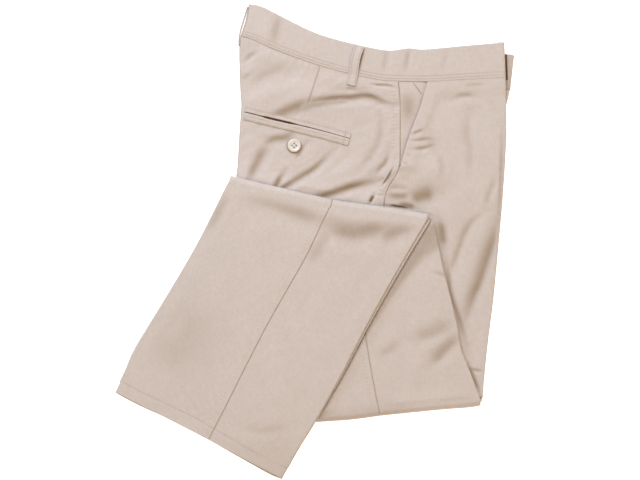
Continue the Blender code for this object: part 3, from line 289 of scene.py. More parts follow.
CREASES_FRONT = (
    # dents below the waistband
    (((452, 98.2), (460, 95.2), (468, 94.6), (477, 96)), 2.4, 2.8, -0.5, 0.22),
    (((462, 84.5), (474, 84), (488, 83)), 2, 2.4, -0.3, 0.12),
    # soft valley down the hip
    (((471, 112), (468, 124), (467, 136), (470, 148), (470.5, 162),
      (469, 176)), 4, 4.4, -0.6, 0.15),
    # dent beside the bend of the side seam
    (((408, 202), (418, 197), (428, 194.5), (438, 193)), 8, 8, -1.4, 0.56),
    (((384, 194.5), (393, 195.5), (403, 196), (413, 195)), 4.2, 4.6, -0.8, 0.42),
    (((386, 190), (393, 187), (402, 187), (411, 189)), 2.4, 3, -0.5, 0.2),
    (((396, 203.5), (406, 205), (418, 207.5)), 3.4, 3, -0.7, 0.6),
    # hollow at fold B
    (((386.5, 204.6), (393, 205.4), (400, 206.4), (412, 208.6)), 1.3, 1.2, -1.4, 1),
    # at the tip of fold B
    (((429.6, 213.6), (431.2, 214.8), (432.6, 216.6)), 0.9, 0.9, -0.4, 1),
    # round the end of the pocket
    (((436, 150), (441, 160), (442, 171), (439, 182)), 3.4, 3.4, -0.4, 0.14),
    # beside level 2's corner
    (((438, 218), (441.5, 228), (443, 238), (444, 250)), 4.6, 4.6, -0.9, 0.52),
    (((445, 252), (447, 266), (448.5, 278), (449.5, 290), (453.5, 303), (460, 320),
      (465.5, 340), (468, 352)), 3.2, 3.4, -0.6, 0.44),
    # thigh
    (((502, 205), (498, 222), (492.5, 241), (487.5, 257), (482.5, 272), (477, 287),
      (471.5, 300), (467, 314), (463, 330)), 5, 6.4, -1.5, 0.5),
    (((488, 210), (474, 219), (466, 230), (461, 242), (457, 254), (452, 267),
      (448, 279)), 3.4, 3.4, -0.6, 0.26),
    (((496, 174), (492, 186), (488, 197), (485, 210)), 3.4, 3.4, -0.5, 0.18),
    # right edge
    (((502.5, 120), (501, 175), (499.5, 210), (498, 232), (495.5, 270)), 2.6, 2, -0.3, 0.36),
    # at fold A
    (((465, 367), (472, 369), (478, 370), (485, 371)), 1.4, 2, -0.5, 0.3),
    # along level 2
    (((466, 360), (471, 372), (476, 384), (481, 396)), 2.6, 3, -0.4, 0.5),
    (((460, 386), (468, 383.5), (478, 383.5)), 2.4, 2.4, -0.3, 0.1),
    # puckers beside the pocket mouth
    (((411, 133.5), (417, 131.6), (424, 128.5)), 1.6, 1.8, -0.6, 0.34),
    (((409, 139.6), (418, 139.6), (428, 138.4), (438, 139.6)), 1.6, 1.6, -0.5, 0.28),
    (((411, 147.8), (420, 148), (429, 146), (438, 142)), 1.8, 2.2, -0.7, 0.36),
    (((405, 153.5), (411, 155)), 0.9, 1, -0.3, 0.16),
    (((402.5, 162), (408, 164)), 0.9, 1, -0.3, 0.14),
    (((424, 138), (431, 144), (434, 154)), 7, 6, -0.9, 0.16),
)
CREASES_LEVEL_2 = (
    # folds across the knee
    (((454, 320), (444, 327), (430, 334), (410, 338)), 6, 9, -0.9, 0.2),
    (((463, 334), (455, 340), (447, 347.5), (439, 356), (428, 367)), 5, 7.5, -1.1, 0.34),
    (((402, 338), (390, 349), (376, 356.5)), 5, 5, -0.4, 0.14),
    (((449, 275), (442, 274), (434, 272)), 2, 2.4, -0.5, 0.22),
)
CREASES_LEVEL_3 = (
    # hollow under the roll of fold B
    (((236, 193), (252, 195), (268, 199), (285, 205.5), (302, 213), (318, 221),
      (330, 226)), 9.5, 9.5, -1.2, 0.27),
    (((320, 223), (336, 229.5), (353, 233), (367, 230.5), (380, 226.5),
      (396, 222)), 9.5, 9.5, -1.3, 0.38),
    (((376, 244), (386, 237), (397, 231), (408, 226.5), (420, 223)), 8, 8, -1, 0.32),
    (((332, 222), (325, 238), (317, 253), (308, 268)), 6, 6, -0.7, 0.16),
    # lower side of the drape
    (((208, 296), (192, 328), (176, 356), (160, 384)), 32, 32, -0.3, 0.11),
    (((229, 190), (219, 212), (206, 234)), 5, 6, -0.5, 0.2),
    # beside the hem
    (((238, 424), (262, 430), (296, 424)), 5, 5, -0.3, 0.09),
)
CREASES_BAND = (
    # painted shadow of the side loop, on the waistband beside it
    (((364.2, 47.5), (362.6, 53), (360.8, 60), (359.2, 67), (358, 73)), 1.1, 1.3, -0.1, 0.9),
    # soft creases across it
    (((281, 14), (276, 29), (274, 46)), 5, 5, -0.5, 0.2),
    (((388, 48), (385.5, 60), (384, 74)), 2.6, 2.8, -0.4, 0.12),
    (((410, 47), (407, 60), (405, 74)), 2.6, 2.8, -0.5, 0.2),
    (((448, 47), (445, 60), (443, 72)), 2.6, 2.8, -0.3, 0.08),
)


# ---- lines and grids in plan ----

def in_plan(places):
    """Plan points in millimetres from places in the view, across and down."""
    return (np.asarray(places, float) - VIEW_MIDDLE) * (VIEW_STEP, -VIEW_STEP)


def resample(points, fractions):
    """Points at the given fractions of a line's length."""
    points = np.asarray(points, float)
    steps = np.linalg.norm(np.diff(points, axis=0), axis=1)
    along = np.concatenate(([0.0], np.cumsum(steps)))
    along /= along[-1]
    return np.stack([np.interp(fractions, along, column) for column in points.T], axis=1)


def length_of(points):
    """Length of a line of points."""
    return float(np.sum(np.linalg.norm(np.diff(points, axis=0), axis=1)))


def smooth(points, finer=10):
    """A dense smooth line through the given points."""
    points = np.asarray(points, float)
    padded = np.vstack([2 * points[0] - points[1], points, 2 * points[-1] - points[-2]])
    dense = []
    for a, b, c, d in zip(padded, padded[1:], padded[2:], padded[3:]):
        for t in np.linspace(0.0, 1.0, finer, endpoint=False):
            bend = 2 * b + (c - a) * t + (2 * a - 5 * b + 4 * c - d) * t * t
            dense.append(0.5 * (bend + (3 * b - a - 3 * c + d) * t ** 3))
    dense.append(points[-1])
    return np.array(dense)


def line(points, count):
    """Evenly spaced points of a smooth line."""
    return resample(smooth(points), np.linspace(0.0, 1.0, count))


def part_of(points, x_from, x_to, count):
    """Evenly spaced points of the part of a smooth line between two values of x."""
    dense = smooth(points)
    inside = dense[(dense[:, 0] > x_from) & (dense[:, 0] < x_to)]
    ends = [[x, np.interp(x, dense[:, 0], dense[:, 1])] for x in (x_from, x_to)]
    return resample(np.vstack([ends[0], inside, ends[1]]), np.linspace(0.0, 1.0, count))


def joined(*lines):
    """Lines end to end, with the shared points kept once."""
    return np.vstack([lines[0]] + [following[1:] for following in lines[1:]])


def sideways(points):
    """Unit directions in plan, square to a line, on its left."""
    along = np.gradient(points, axis=0)
    along /= np.linalg.norm(along, axis=1, keepdims=True)
    return np.stack([-along[:, 1], along[:, 0]], axis=1)


def shifted(points, distance):
    """A line moved sideways in plan, to its left where the distance is positive."""
    return points + distance * sideways(points)


def plan(left, right, count, top=None, bottom=None, down=None, near_left=(), near_right=()):
    """Grid of plan points between two lines, with extra columns near them, in millimetres."""
    width = np.linalg.norm(right - left, axis=1)[:, None]
    close_left = np.asarray(near_left)[None, :] / width
    close_right = 1.0 - np.asarray(near_right)[::-1][None, :] / width
    start = close_left[:, -1:] if len(near_left) else 0.0 * width
    end = close_right[:, :1] if len(near_right) else 1.0 + 0.0 * width
    shares = np.linspace(0.0, 1.0, count) if np.isscalar(count) else np.asarray(count)
    even = start + (end - start) * shares[None, :]
    first = 1 if len(near_left) else 0
    last = len(shares) - 1 if len(near_right) else len(shares)
    across = np.hstack([close_left, even[:, first:last], close_right])
    grid = left[:, None] * (1 - across)[..., None] + right[:, None] * across[..., None]
    if down is None:
        down = np.linspace(0.0, 1.0, len(left))
    for edge, weight in ((top, 1.0 - down), (bottom, down)):
        if edge is None:
            continue
        for row, share in enumerate(weight):
            if share > 0.0:
                bent = resample(edge, across[row])
                chord = edge[0] + np.outer(across[row], edge[-1] - edge[0])
                grid[row] += share * (bent - chord)
    return grid


def step(value):
    """0 below 0, 1 above 1, and smooth between."""
    t = np.clip(value, 0.0, 1.0)
    return t * t * (3.0 - 2.0 * t)


def bell(value, reach):
    """1 at nil, and next to nothing two reaches away."""
    return np.exp(-(value / reach) ** 2)


def beside(x, y, points):
    """Signed distance to a line, positive on its left, and the place along it."""
    x, y = np.asarray(x, float), np.asarray(y, float)
    nearest = np.full(x.shape, 1e9)
    side = np.zeros(x.shape)
    along = np.zeros(x.shape)
    gone = 0.0
    for (ax, ay), (bx, by) in zip(points, points[1:]):
        run_x, run_y = bx - ax, by - ay
        run = math.hypot(run_x, run_y)
        t = np.clip(((x - ax) * run_x + (y - ay) * run_y) / run ** 2, 0.0, 1.0)
        away_x, away_y = x - ax - t * run_x, y - ay - t * run_y
        distance = np.hypot(away_x, away_y)
        closer = distance < nearest
        sign = np.where(run_x * away_y - run_y * away_x >= 0.0, 1.0, -1.0)
        nearest = np.where(closer, distance, nearest)
        side = np.where(closer, sign * distance, side)
        along = np.where(closer, gone + t * run, along)
        gone += run
    return side, along


def outside(x, y, outline):
    """Distance in plan outside a closed outline, negative inside it."""
    inside = np.zeros(np.shape(x), bool)
    ring = list(outline) + [outline[0]]
    for (ax, ay), (bx, by) in zip(ring, ring[1:]):
        crosses = (ay > y) != (by > y)
        at_x = ax + (y - ay) * (bx - ax) / (by - ay if by != ay else 1e-9)
        inside ^= crosses & (x < at_x)
    distance = np.abs(beside(x, y, ring)[0])
    return np.where(inside, -distance, distance)


def unit(a, b):
    """Unit vector in plan, square to the line from a to b, on its left."""
    run = np.subtract(b, a)
    run = run / np.linalg.norm(run)
    return np.array([-run[1], run[0]])


def closed(*lines):
    """A closed outline of four or more lines."""
    return [tuple(p) for p in joined(*lines)[:-1]]


STACK = closed(line(BACK_CREASE_2, 8), line(FOLD_A, 8), line(FRONT_CREASE_2, 8)[::-1],
               line(FOLD_B, 8)[::-1])
TOP_LEG = closed(line(BACK_CREASE_3, 8), line(HEM, 8), line(LEFT_FRONT_CREASE_3, 8)[::-1],
                 line(FOLD_B, 8)[::-1])
TRUNK = closed(line(SEAT_EDGE, 8), line(BACK_CREASE_1, 6), line(FOLD_A, 8),
               line(FRONT_CREASE_1, 8)[::-1], line(FRONT_EDGE, 6)[::-1],
               line(WAIST_SEAM, 12)[::-1])
OUT_A = -unit(FOLD_A[0], FOLD_A[-1])
OUT_B = unit(FOLD_B[0], FOLD_B[-1])
BASE_A = line(((-56.0, -219.2),) + FOLD_A + ((210.0, -195.4),), 30) - OUT_A * TURN_RADIUS
BASE_B = line(((-108.0, 80.8),) + FOLD_B + ((150.0, 31.0),), 30) - OUT_B * TURN_RADIUS


def past(x, y, base, out):
    """How far past a fold's base line a place lies."""
    limit = np.interp(x, base[:, 0], (base - base[0]) @ out)
    return (x - base[0][0]) * out[0] + (y - base[0][1]) * out[1] - limit


def cut(points, count, from_b=False, to_a=False):
    """Evenly spaced points of a line, cut where it meets the base lines of the folds."""
    dense = smooth(points, 24)
    if from_b:
        reach = past(dense[:, 0], dense[:, 1], BASE_B, OUT_B)
        start = int(np.argmax(reach < 0.0))
        dense = np.vstack([crossing(dense, reach, start - 1), dense[start:]])
    if to_a:
        reach = past(dense[:, 0], dense[:, 1], BASE_A, OUT_A)
        end = int(np.argmax(reach > 0.0))
        dense = np.vstack([dense[:end], crossing(dense, reach, end - 1)])
    fractions = np.linspace(0.0, 1.0, count) if np.isscalar(count) else count
    return resample(dense, fractions)


def crossing(points, reach, index):
    """The point between an index and the next where the reach is nil."""
    t = reach[index] / (reach[index] - reach[index + 1])
    return points[index] + t * (points[index + 1] - points[index])


# ---- heights of the cloth, and how deep its creases look ----

def folds(x, y, table):
    """Sum of the large soft ridges and troughs of a table."""
    height = np.zeros(np.shape(x))
    for x0, y0, x1, y1, bend, reach, rise in table:
        length = math.hypot(x1 - x0, y1 - y0)
        along_x, along_y = (x1 - x0) / length, (y1 - y0) / length
        t = ((x - x0) * along_x + (y - y0) * along_y) / length
        side = (y - y0) * along_x - (x - x0) * along_y
        side = side - bend * 4.0 * np.clip(t, 0.0, 1.0) * (1.0 - np.clip(t, 0.0, 1.0))
        beyond = np.maximum(np.maximum(-t, t - 1.0), 0.0) * length
        height = height + rise * np.exp(-(side / reach) ** 2 - (beyond / reach) ** 2)
    return height


NOISE_SIZE = 64
NOISE = np.random.default_rng(11).random((NOISE_SIZE, NOISE_SIZE))


def value_noise(x, y):
    """Smooth noise from 0 to 1 with features about one unit wide."""
    column, row = np.floor(x).astype(int), np.floor(y).astype(int)
    t, u = step(x - column), step(y - row)
    after_column, after_row = (column + 1) % NOISE_SIZE, (row + 1) % NOISE_SIZE
    column, row = column % NOISE_SIZE, row % NOISE_SIZE
    low = NOISE[row, column] * (1.0 - t) + NOISE[row, after_column] * t
    high = NOISE[after_row, column] * (1.0 - t) + NOISE[after_row, after_column] * t
    return low * (1.0 - u) + high * u


def wrinkles(x, y, angle, layers, shift=0.0):
    """Irregular soft wrinkles that run at an angle: size along, across, height of each layer."""
    turn = np.radians(angle)
    along = x * np.cos(turn) + y * np.sin(turn)
    across = y * np.cos(turn) - x * np.sin(turn)
    sway = 9.0 * (value_noise(along / 60.0 + 7.3 + shift, across / 60.0 + 2.1) - 0.5)
    height = np.zeros(np.shape(x))
    for number, (length, width, rise) in enumerate(layers):
        place = 13.7 * number + shift
        wave = value_noise(along / length + place, (across + sway) / width + 1.7 * place)
        height = height + rise * (1.0 - np.abs(4.0 * wave - 2.0) ** 1.3)
    return height


SOFT = ((60.0, 26.0, 0.30), (26.0, 12.0, 0.14), (12.0, 6.0, 0.05))
CRISP = ((40.0, 15.0, 0.40), (20.0, 8.0, 0.17), (10.0, 5.0, 0.05))


# directions in which the wrinkles run and the cloth's grain turns, in degrees
BACK_WRINKLES, FRONT_WRINKLES, KNEE_WRINKLES = 32.0, -82.0, -70.0
SHIN_WRINKLES, BAND_WRINKLES = 62.0, 84.0
THIGH_GRAIN, FACING_GRAIN, KNEE_GRAIN, SHIN_GRAIN = 0.0, 8.0, 12.0, -28.0
BAND_GRAIN, LOOP_GRAIN, WELT_GRAIN = 84.0, 10.0, -14.0
CREASE_SHIFT = (0.7, -1.8)   # its lowest line lies this far off the darkest, from the light
CREASE_GAIN = 1.35
CREASE_LIP = 0.32      # the cloth beside a crease stands up by this share of its depth
CREASE_LIMIT = 1.5     # no crease gets down to the layers behind the panels


def creases(x, y, table):
    """Height and shade of the finer creases of a table."""
    height = np.zeros(np.shape(x))
    shade = np.zeros(np.shape(x))
    for places, left, right, rise, dark in table:
        dense = smooth(in_plan(places), 4)
        side, along = beside(x, y, dense)
        total = length_of(dense)
        reach = VIEW_STEP * np.where(side > 0.0, left, right)
        taper = np.clip(np.minimum(along, total - along) / (0.35 * total), 0.0, 1.0)
        taper = 0.25 + 0.75 * step(taper)
        form = bell(side, reach) * taper
        shade = np.maximum(shade, dark * form ** 1.3)
        low = np.abs(side - unit(dense[0], dense[-1]) @ CREASE_SHIFT) / reach
        lip = bell(low - 2.1, 0.9)
        height = height + CREASE_GAIN * rise * taper * (np.exp(-low ** 2) - CREASE_LIP * lip)
    return height / (1.0 + (np.minimum(height, 0.0) / CREASE_LIMIT) ** 4) ** 0.25, shade


SEAM_DITCH = 0.42      # how far the cloth turns down at a plain seam
SEAM_DITCH_REACH = 0.6
ALLOWANCE_RISE = 0.4   # the seam allowances lift the cloth on one side
ALLOWANCE_WIDTH = 9.0
RIB_RISE = 0.20        # the overlock along their edge shows through as ribs
RIB_PITCH = 4.5


def seam_form(side, along):
    """Height and shade beside a plain seam, whose allowances lie where side is positive."""
    ditch = bell(side, SEAM_DITCH_REACH)
    plateau = step(side / 1.5) * (1.0 - step((side - ALLOWANCE_WIDTH + 1.5) / 3.0))
    ribs = bell(side - ALLOWANCE_WIDTH + 1.0, 3.2)
    ribs = ribs * np.sin(2.0 * math.pi * along / RIB_PITCH)
    height = ALLOWANCE_RISE * plateau + RIB_RISE * ribs - SEAM_DITCH * ditch
    return height, 0.42 * ditch + 0.09 * ribs


def seam_at(x, y, seam):
    """Height and shade of a plain seam, with its allowances on the seam's right."""
    side, along = beside(x, y, seam)
    return seam_form(-side, along)


ROW_PITCH = 3.0        # of the dots of a row of stitches
BAND_ROWS = ((3.8, 0.26), (7.4, 0.22))   # distance above the waistband's seam, and shade
WELT_ROWS = ((-4.2, 0.2), (-7.6, 0.26), (5.4, 0.26))   # the same beside the pocket's mouth
LOOP_ROW = 3.6         # from the loop's middle to its rows of stitches


def stitch_form(side, along, depth=0.22, dark=0.30):
    """Height and shade of a row of stitches drawn into the cloth."""
    row = bell(side, 0.7)
    dots = 0.65 + 0.35 * np.sin(2.0 * math.pi * along / ROW_PITCH)
    return -depth * row * dots, dark * row * dots


def with_rows(height, shade, side, along, rows, depth=0.22):
    """Height and shade with rows of stitches added."""
    for offset, dark in rows:
        row_height, row_shade = stitch_form(side - offset, along, depth, dark)
        height, shade = height + row_height, np.maximum(shade, row_shade)
    return height, shade


DENSE_SIDE = line(joined(smooth(SIDE_SEAM), smooth(SIDE_SEAM_1)), 60)
DENSE_SIDE_2 = line(SIDE_SEAM_2, 30)
DENSE_SIDE_3 = line(SIDE_SEAM_3, 40)
DENSE_DART = line(DART, 10)
DENSE_WAIST = line(WAIST_SEAM, 60)
DENSE_MOUTH = line(POCKET_MOUTH, 24)
DENSE_WELT = line(WELT_MOUTH_LINE, 24)
DENSE_HEM = line(HEM, 30)
BAR_TACK = ((119.2, 189.7), (128.4, 177.5))   # slanting stitches on the pocket's facing


def waist_rise(x, y):
    """How far the panels of level 1 come up to the waistband."""
    seam_y = np.interp(x, DENSE_WAIST[:, 0], DENSE_WAIST[:, 1])
    return WAIST_RISE * (1.0 - step((seam_y - y) / WAIST_RISE_WIDTH))


def trunk_form(x, y):
    """Top and shade of level 1 without what the waistband and the pocket mouth add."""
    off_stack = outside(x, y, STACK)
    bare = step((off_stack - COVERED_EDGE) / COVERED_FADE)
    within = -outside(x, y, TRUNK)
    rim = step(within / EDGE_FADE)
    dome = DOME * np.exp(-((x - DOME_CENTRE[0]) / DOME_REACH[0]) ** 2
                         - ((y - DOME_CENTRE[1]) / DOME_REACH[1]) ** 2)
    fine, shade = creases(x, y, CREASES_BACK + CREASES_FRONT)
    front = step((x - 96.0) / 24.0)
    fine = fine + (1.0 - front) * wrinkles(x, y, BACK_WRINKLES, CRISP)
    fine = fine + front * wrinkles(x, y, FRONT_WRINKLES, SOFT, 5.0)
    close = step((off_stack + 2.0) / 3.0) * (0.3 + 0.7 * step(within / 6.0))
    from_fold = past(x, y, BASE_B, OUT_B) - TURN_RADIUS - 0.5
    swell = SWELL * bell(from_fold, np.where(from_fold > 0.0, *SWELL_REACH))
    swell = swell * step((x - SWELL_SPAN[0]) / SWELL_FADE)
    swell = swell * step((SWELL_SPAN[1] - x) / SWELL_FADE)
    relief = dome + FOLD_GAIN * folds(x, y, FOLDS_LEVEL_1)
    height = PANEL_TOP + swell + bare * rim * relief + close * fine
    contact = 0.05 * bell(off_stack, 2.5)
    return height, np.maximum(close * shade, contact)


def waist_puckers(x, y):
    """Small gathers under the waistband's seam, strongest at the seat."""
    side, along = beside(x, y, DENSE_WAIST)
    share = bell(-side - 3.0, 3.5) * (1.0 - step((x + 10.0) / 50.0))
    wave = np.sin(2.0 * math.pi * along / 9.5 + 0.9 * np.sin(along / 13.0))
    return 0.28 * share * wave


def under_band(x, y):
    """Shade of the panels beside the waistband's seam."""
    return 0.08 * bell(beside(x, y, DENSE_WAIST)[0], 1.0)


def back_form(x, y):
    """Top and shade of the right back panel."""
    height, shade = trunk_form(x, y)
    seam_height, seam_shade = seam_at(x, y, DENSE_SIDE)
    dart_side, dart_along = beside(x, y, DENSE_DART)
    to_end = length_of(DENSE_DART) - dart_along
    dart = bell(dart_side, 0.8) * step(to_end / 6.0)
    lit = 0.35 * step(dart_side / 1.2) * (1.0 - step(dart_side / 6.0)) * step(to_end / 12.0)
    height = height + waist_rise(x, y) + waist_puckers(x, y) + seam_height
    height = height - 0.5 * dart + lit
    away_x, away_y = x - BUTTON_CENTRE[0], y - BUTTON_CENTRE[1]
    # painted shadow round the button, fading out towards its top
    ring = bell(np.hypot(away_x, away_y) - 8.3, 1.0) * step((8.0 - away_y) / 8.0)
    return height, np.maximum.reduce([shade, seam_shade, 0.45 * dart, under_band(x, y),
                                      0.7 * ring])


HOLLOW_CENTRE = (112.0, 162.0)   # of the shade in the pocket's mouth
HOLLOW_REACH = (8.0, 15.0)


def facing_form(x, y):
    """Top and shade of the cloth in the mouth of the side pocket."""
    height, shade = trunk_form(x, y)
    mouth_side, _ = beside(x, y, DENSE_MOUTH)
    seam_height, seam_shade = seam_form(-beside(x, y, DENSE_SIDE)[0], y)
    tack_side, tack_along = beside(x, y, BAR_TACK)
    tack_height, tack_shade = stitch_form(tack_side, tack_along)
    into_mouth = step((12.0 + mouth_side) / 12.0)
    height = height - 0.7 * into_mouth + tack_height + seam_height + 0.6 * waist_rise(x, y)
    hollow = 0.32 * np.exp(-((x - HOLLOW_CENTRE[0]) / HOLLOW_REACH[0]) ** 2
                           - ((y - HOLLOW_CENTRE[1]) / HOLLOW_REACH[1]) ** 2)
    shade = np.maximum.reduce([shade, seam_shade, tack_shade, hollow, 0.2 * into_mouth ** 4])
    return height, shade


def front_form(x, y):
    """Top and shade of the right front panel, which stands over the pocket's facing."""
    height, shade = trunk_form(x, y)
    mouth = smooth(POCKET_MOUTH)[::-1]
    into = x - np.interp(y, mouth[:, 1], mouth[:, 0])
    lift = 1.0 - step((into - POCKET_LIFT_WIDTH) / POCKET_LIFT_FADE)
    above_end = y - POCKET_MOUTH[-1][1] + POCKET_LIFT_BELOW
    lift = POCKET_LIFT * lift * step(above_end / (POCKET_LIFT_BELOW + 1.0))
    edge = bell(into, 1.0) * (y > POCKET_MOUTH[-1][1])
    seam_height, seam_shade = seam_at(x, y, DENSE_SIDE)
    below = 1.0 - step((y - POCKET_MOUTH[-1][1]) / 2.0)
    height = height + np.maximum(waist_rise(x, y), lift) - 0.5 * edge + below * seam_height
    return height, np.maximum.reduce([shade, below * seam_shade, under_band(x, y)])


EDGE_SHADE = 0.28      # level 2 lies in the shade beside the edge of level 3
EDGE_SHADE_AT = (-150.0, -112.0, -64.0, -40.0, -16.0, 4.0)   # places along Y
EDGE_SHADE_WIDTHS = (2.0, 4.0, 7.5, 10.5, 18.0, 40.0)


def knee_form(x, y):
    """Top and shade of the panels of level 2."""
    off_leg = outside(x, y, TOP_LEG)
    bare = step((off_leg - COVERED_EDGE) / COVERED_FADE)
    within = -outside(x, y, STACK)
    rim = step(within / EDGE_FADE) * step(-past(x, y, BASE_A, OUT_A) / FOLD_FADE)
    fine, shade = creases(x, y, CREASES_LEVEL_2)
    fine = fine + wrinkles(x, y, KNEE_WRINKLES, SOFT, 9.0)
    seam_height, seam_shade = seam_at(x, y, DENSE_SIDE_2)
    height = PANEL_TOP + LEVEL_RISE + bare * rim * (folds(x, y, FOLDS_LEVEL_2) + fine)
    swell = KNEE_SWELL * bell(off_leg - 2.0, 8.0) * step(off_leg / 2.0)
    height = height + swell * step(-past(x, y, BASE_A, OUT_A) / FOLD_FADE)
    rolled = 0.1 * bell(past(x, y, BASE_A, OUT_A) - 2.0, 9.0)
    rolled = rolled * (1.0 - step((x - 90.0) / 40.0))
    width = np.interp(y, EDGE_SHADE_AT, EDGE_SHADE_WIDTHS)
    beside_leg = EDGE_SHADE * (1.0 - step((off_leg / width - 0.6) / 0.8))
    beside_leg = beside_leg * step(off_leg / 6.0)
    return height + seam_height, np.maximum.reduce([shade, seam_shade, rolled, beside_leg])


def support(x, y):
    """What level 3 lies on: the stack, or the surface beside it."""
    run = (outside(x, y, STACK) - DRAPE_START) / DRAPE_RUN
    return 2.0 * LEVEL_RISE * (1.0 - step(run))


def shin_form(x, y):
    """Top and shade of the panels of level 3."""
    within = -outside(x, y, TOP_LEG)
    to_base = step(-past(x, y, BASE_B, OUT_B) / ROLL_FADE)
    rim = step(within / EDGE_FADE) * to_base
    fine, shade = creases(x, y, CREASES_LEVEL_3)
    fine = fine + 0.8 * wrinkles(x, y, SHIN_WRINKLES, SOFT, 3.0)
    seam_height, seam_shade = seam_at(x, y, DENSE_SIDE_3)
    hem_side, hem_along = beside(x, y, DENSE_HEM)
    stitch_height, stitch_shade = stitch_form(np.abs(hem_side) - HEM_DEPTH, hem_along, dark=0.18)
    height = PANEL_TOP + support(x, y) + rim * (folds(x, y, FOLDS_LEVEL_3) + fine)
    height = height + seam_height + stitch_height
    return height, np.maximum.reduce([shade * to_base, seam_shade, stitch_shade])


def band_form(x, y):
    """Top and shade of the right half of the waistband."""
    side, along = beside(x, y, DENSE_WAIST)
    fine, shade = creases(x, y, CREASES_BAND)
    height = BAND_TOP + folds(x, y, FOLDS_BAND) + fine
    height = height + 0.5 * wrinkles(x, y, BAND_WRINKLES, SOFT, 1.0)
    height, shade = with_rows(height, shade, side, along, BAND_ROWS)
    puckers = bell(side - 3.5, 3.0) * (1.0 - step((x + 10.0) / 60.0))
    height = height + 0.14 * puckers * np.sin(2.0 * math.pi * along / 8.0)
    seam = bell(side, 1.0)
    return height - 0.25 * seam, np.maximum(shade, 0.05 * seam)


# ---- shells of cloth ----

def placed(points):
    """Points of the tables' frame, in metres from the origin."""
    return (np.asarray(points, float) - (MIDDLE[0], MIDDLE[1], 0.0)) * MM


WALL = 0.9             # of the visible cloth
ROLL_SHADE = 0.16      # the cloth looks darker where it rolls under
FOLD_BLEND = 14.0      # a crease turns to the direction of the fold across it in this length


class Cloth:
    """A grid of points on the outside of a piece, with each column's drop below the top."""

    def __init__(self, grid, form, carried_by=None):
        x, y = grid[..., 0], grid[..., 1]
        height, self.shade = form(x, y)
        self.points = np.dstack([x, y, height])
        self.drop = np.zeros(grid.shape[1])
        self.carried_by = carried_by

    def grow(self, axis, at_end, points, shade):
        """Add rows (axis 0) or columns (axis 1) past the last one or before the first."""
        if at_end:
            self.points = np.concatenate([self.points, points], axis=axis)
            self.shade = np.concatenate([self.shade, shade], axis=axis)
        else:
            self.points = np.concatenate([np.flip(points, axis), self.points], axis=axis)
            self.shade = np.concatenate([np.flip(shade, axis), self.shade], axis=axis)

    def crease(self, at_right, radius=TUBE / 2, tuck=CREASE_TUCK, fold_row=None,
               dark=ROLL_SHADE):
        """Roll one side down over a pressed crease and run in again under it."""
        base = self.points[:, -1 if at_right else 0]
        beside_it = self.points[:, -4 if at_right else 3]
        out = sideways(base[:, :2])
        out *= np.sign(np.sum(out * (base - beside_it)[:, :2], axis=1))[:, None]
        if fold_row is not None:
            row_run = (base - beside_it)[fold_row, :2]
            away = np.linalg.norm(base[:, :2] - base[fold_row, :2], axis=1)[:, None]
            share = step(away / FOLD_BLEND)
            out = share * out + (1.0 - share) * row_run / np.linalg.norm(row_run)
            out /= np.linalg.norm(out, axis=1, keepdims=True)
        angles = math.pi * np.arange(1, CREASE_TURNS + 1) / CREASE_TURNS
        columns = [(radius * math.sin(a), radius * (1.0 - math.cos(a))) for a in angles]
        if tuck:
            columns.append((-tuck, 2.0 * radius))
        added = []
        for away, down in columns:
            moved = base.copy()
            moved[:, :2] += out * away
            moved[:, 2] -= down
            if self.carried_by:
                moved[:, 2] += self.carried_by(moved[:, 0], moved[:, 1])
                moved[:, 2] -= self.carried_by(base[:, 0], base[:, 1])
            added.append(moved)
        added = np.stack(added, axis=1)
        drops = np.array([down for _, down in columns])
        edge_shade = np.repeat(self.shade[:, -1 if at_right else 0][:, None], len(drops), axis=1)
        edge_shade = np.maximum(edge_shade, dark * step(drops / radius)[None])
        if not at_right:    # there the shade is deepest beside the panel
            edge_shade = edge_shade[:, ::-1]
        self.grow(1, at_right, added, edge_shade)
        parts = [self.drop, drops] if at_right else [drops[::-1], self.drop]
        self.drop = np.concatenate(parts)

    def turn(self, at_end, out):
        """Carry the first or last row round a fold across the leg."""
        base = self.points[-1 if at_end else 0]
        top = base[:, 2] + self.drop
        level = np.median(top)
        relief = top - level
        rows = []
        for number in range(1, FOLD_TURNS + 1):
            angle = math.pi * number / FOLD_TURNS
            row = base.copy()
            kept = np.where(relief > 0.0, relief * max(math.cos(angle), 0.0), relief)
            reach = TURN_RADIUS - self.drop + kept
            row[:, :2] += np.outer(reach * math.sin(angle), out)
            row[:, 2] = level - TURN_RADIUS + reach * math.cos(angle)
            rows.append(row)
        shade = np.repeat(self.shade[-1 if at_end else 0][None], FOLD_TURNS, axis=0)
        self.grow(0, at_end, np.stack(rows), shade)

    def normals(self):
        """Outward direction at each point of the grid."""
        down = np.gradient(self.points, axis=0)
        across = np.gradient(self.points, axis=1)
        normal = np.cross(down, across)
        return normal / np.linalg.norm(normal, axis=2, keepdims=True)

    def piece(self, name, grain, wall=WALL):
        """The closed shell of twill behind the grid, as an object."""
        wall = np.asarray(wall, float)[..., None]
        inner = self.points - self.normals() * wall
        return shell(name, self.points, inner, self.shade, finish(TWILL), grain)


def shell(name, outer, inner, shade, material, grain=0.0):
    """Closed mesh between two grids of the same size, the first one facing out."""
    rows, columns = outer.shape[:2]
    number = np.arange(rows * columns).reshape(rows, columns)
    corner = [number[:-1, :-1], number[1:, :-1], number[1:, 1:], number[:-1, 1:]]
    front = np.stack([c.ravel() for c in corner], axis=1)
    back = front[:, ::-1] + rows * columns
    rim = np.concatenate([number[0, :-1], number[:-1, -1], number[-1, :0:-1], number[:0:-1, 0]])
    after = np.roll(rim, -1)
    sides = np.stack([rim, after, after + rows * columns, rim + rows * columns], axis=1)
    points = np.concatenate([outer.reshape(-1, 3), inner.reshape(-1, 3)])
    faces = np.concatenate([front, back, sides])
    shades = np.tile(np.ravel(shade), 2)
    return mesh_object(name, points, faces, material, shades, grain)


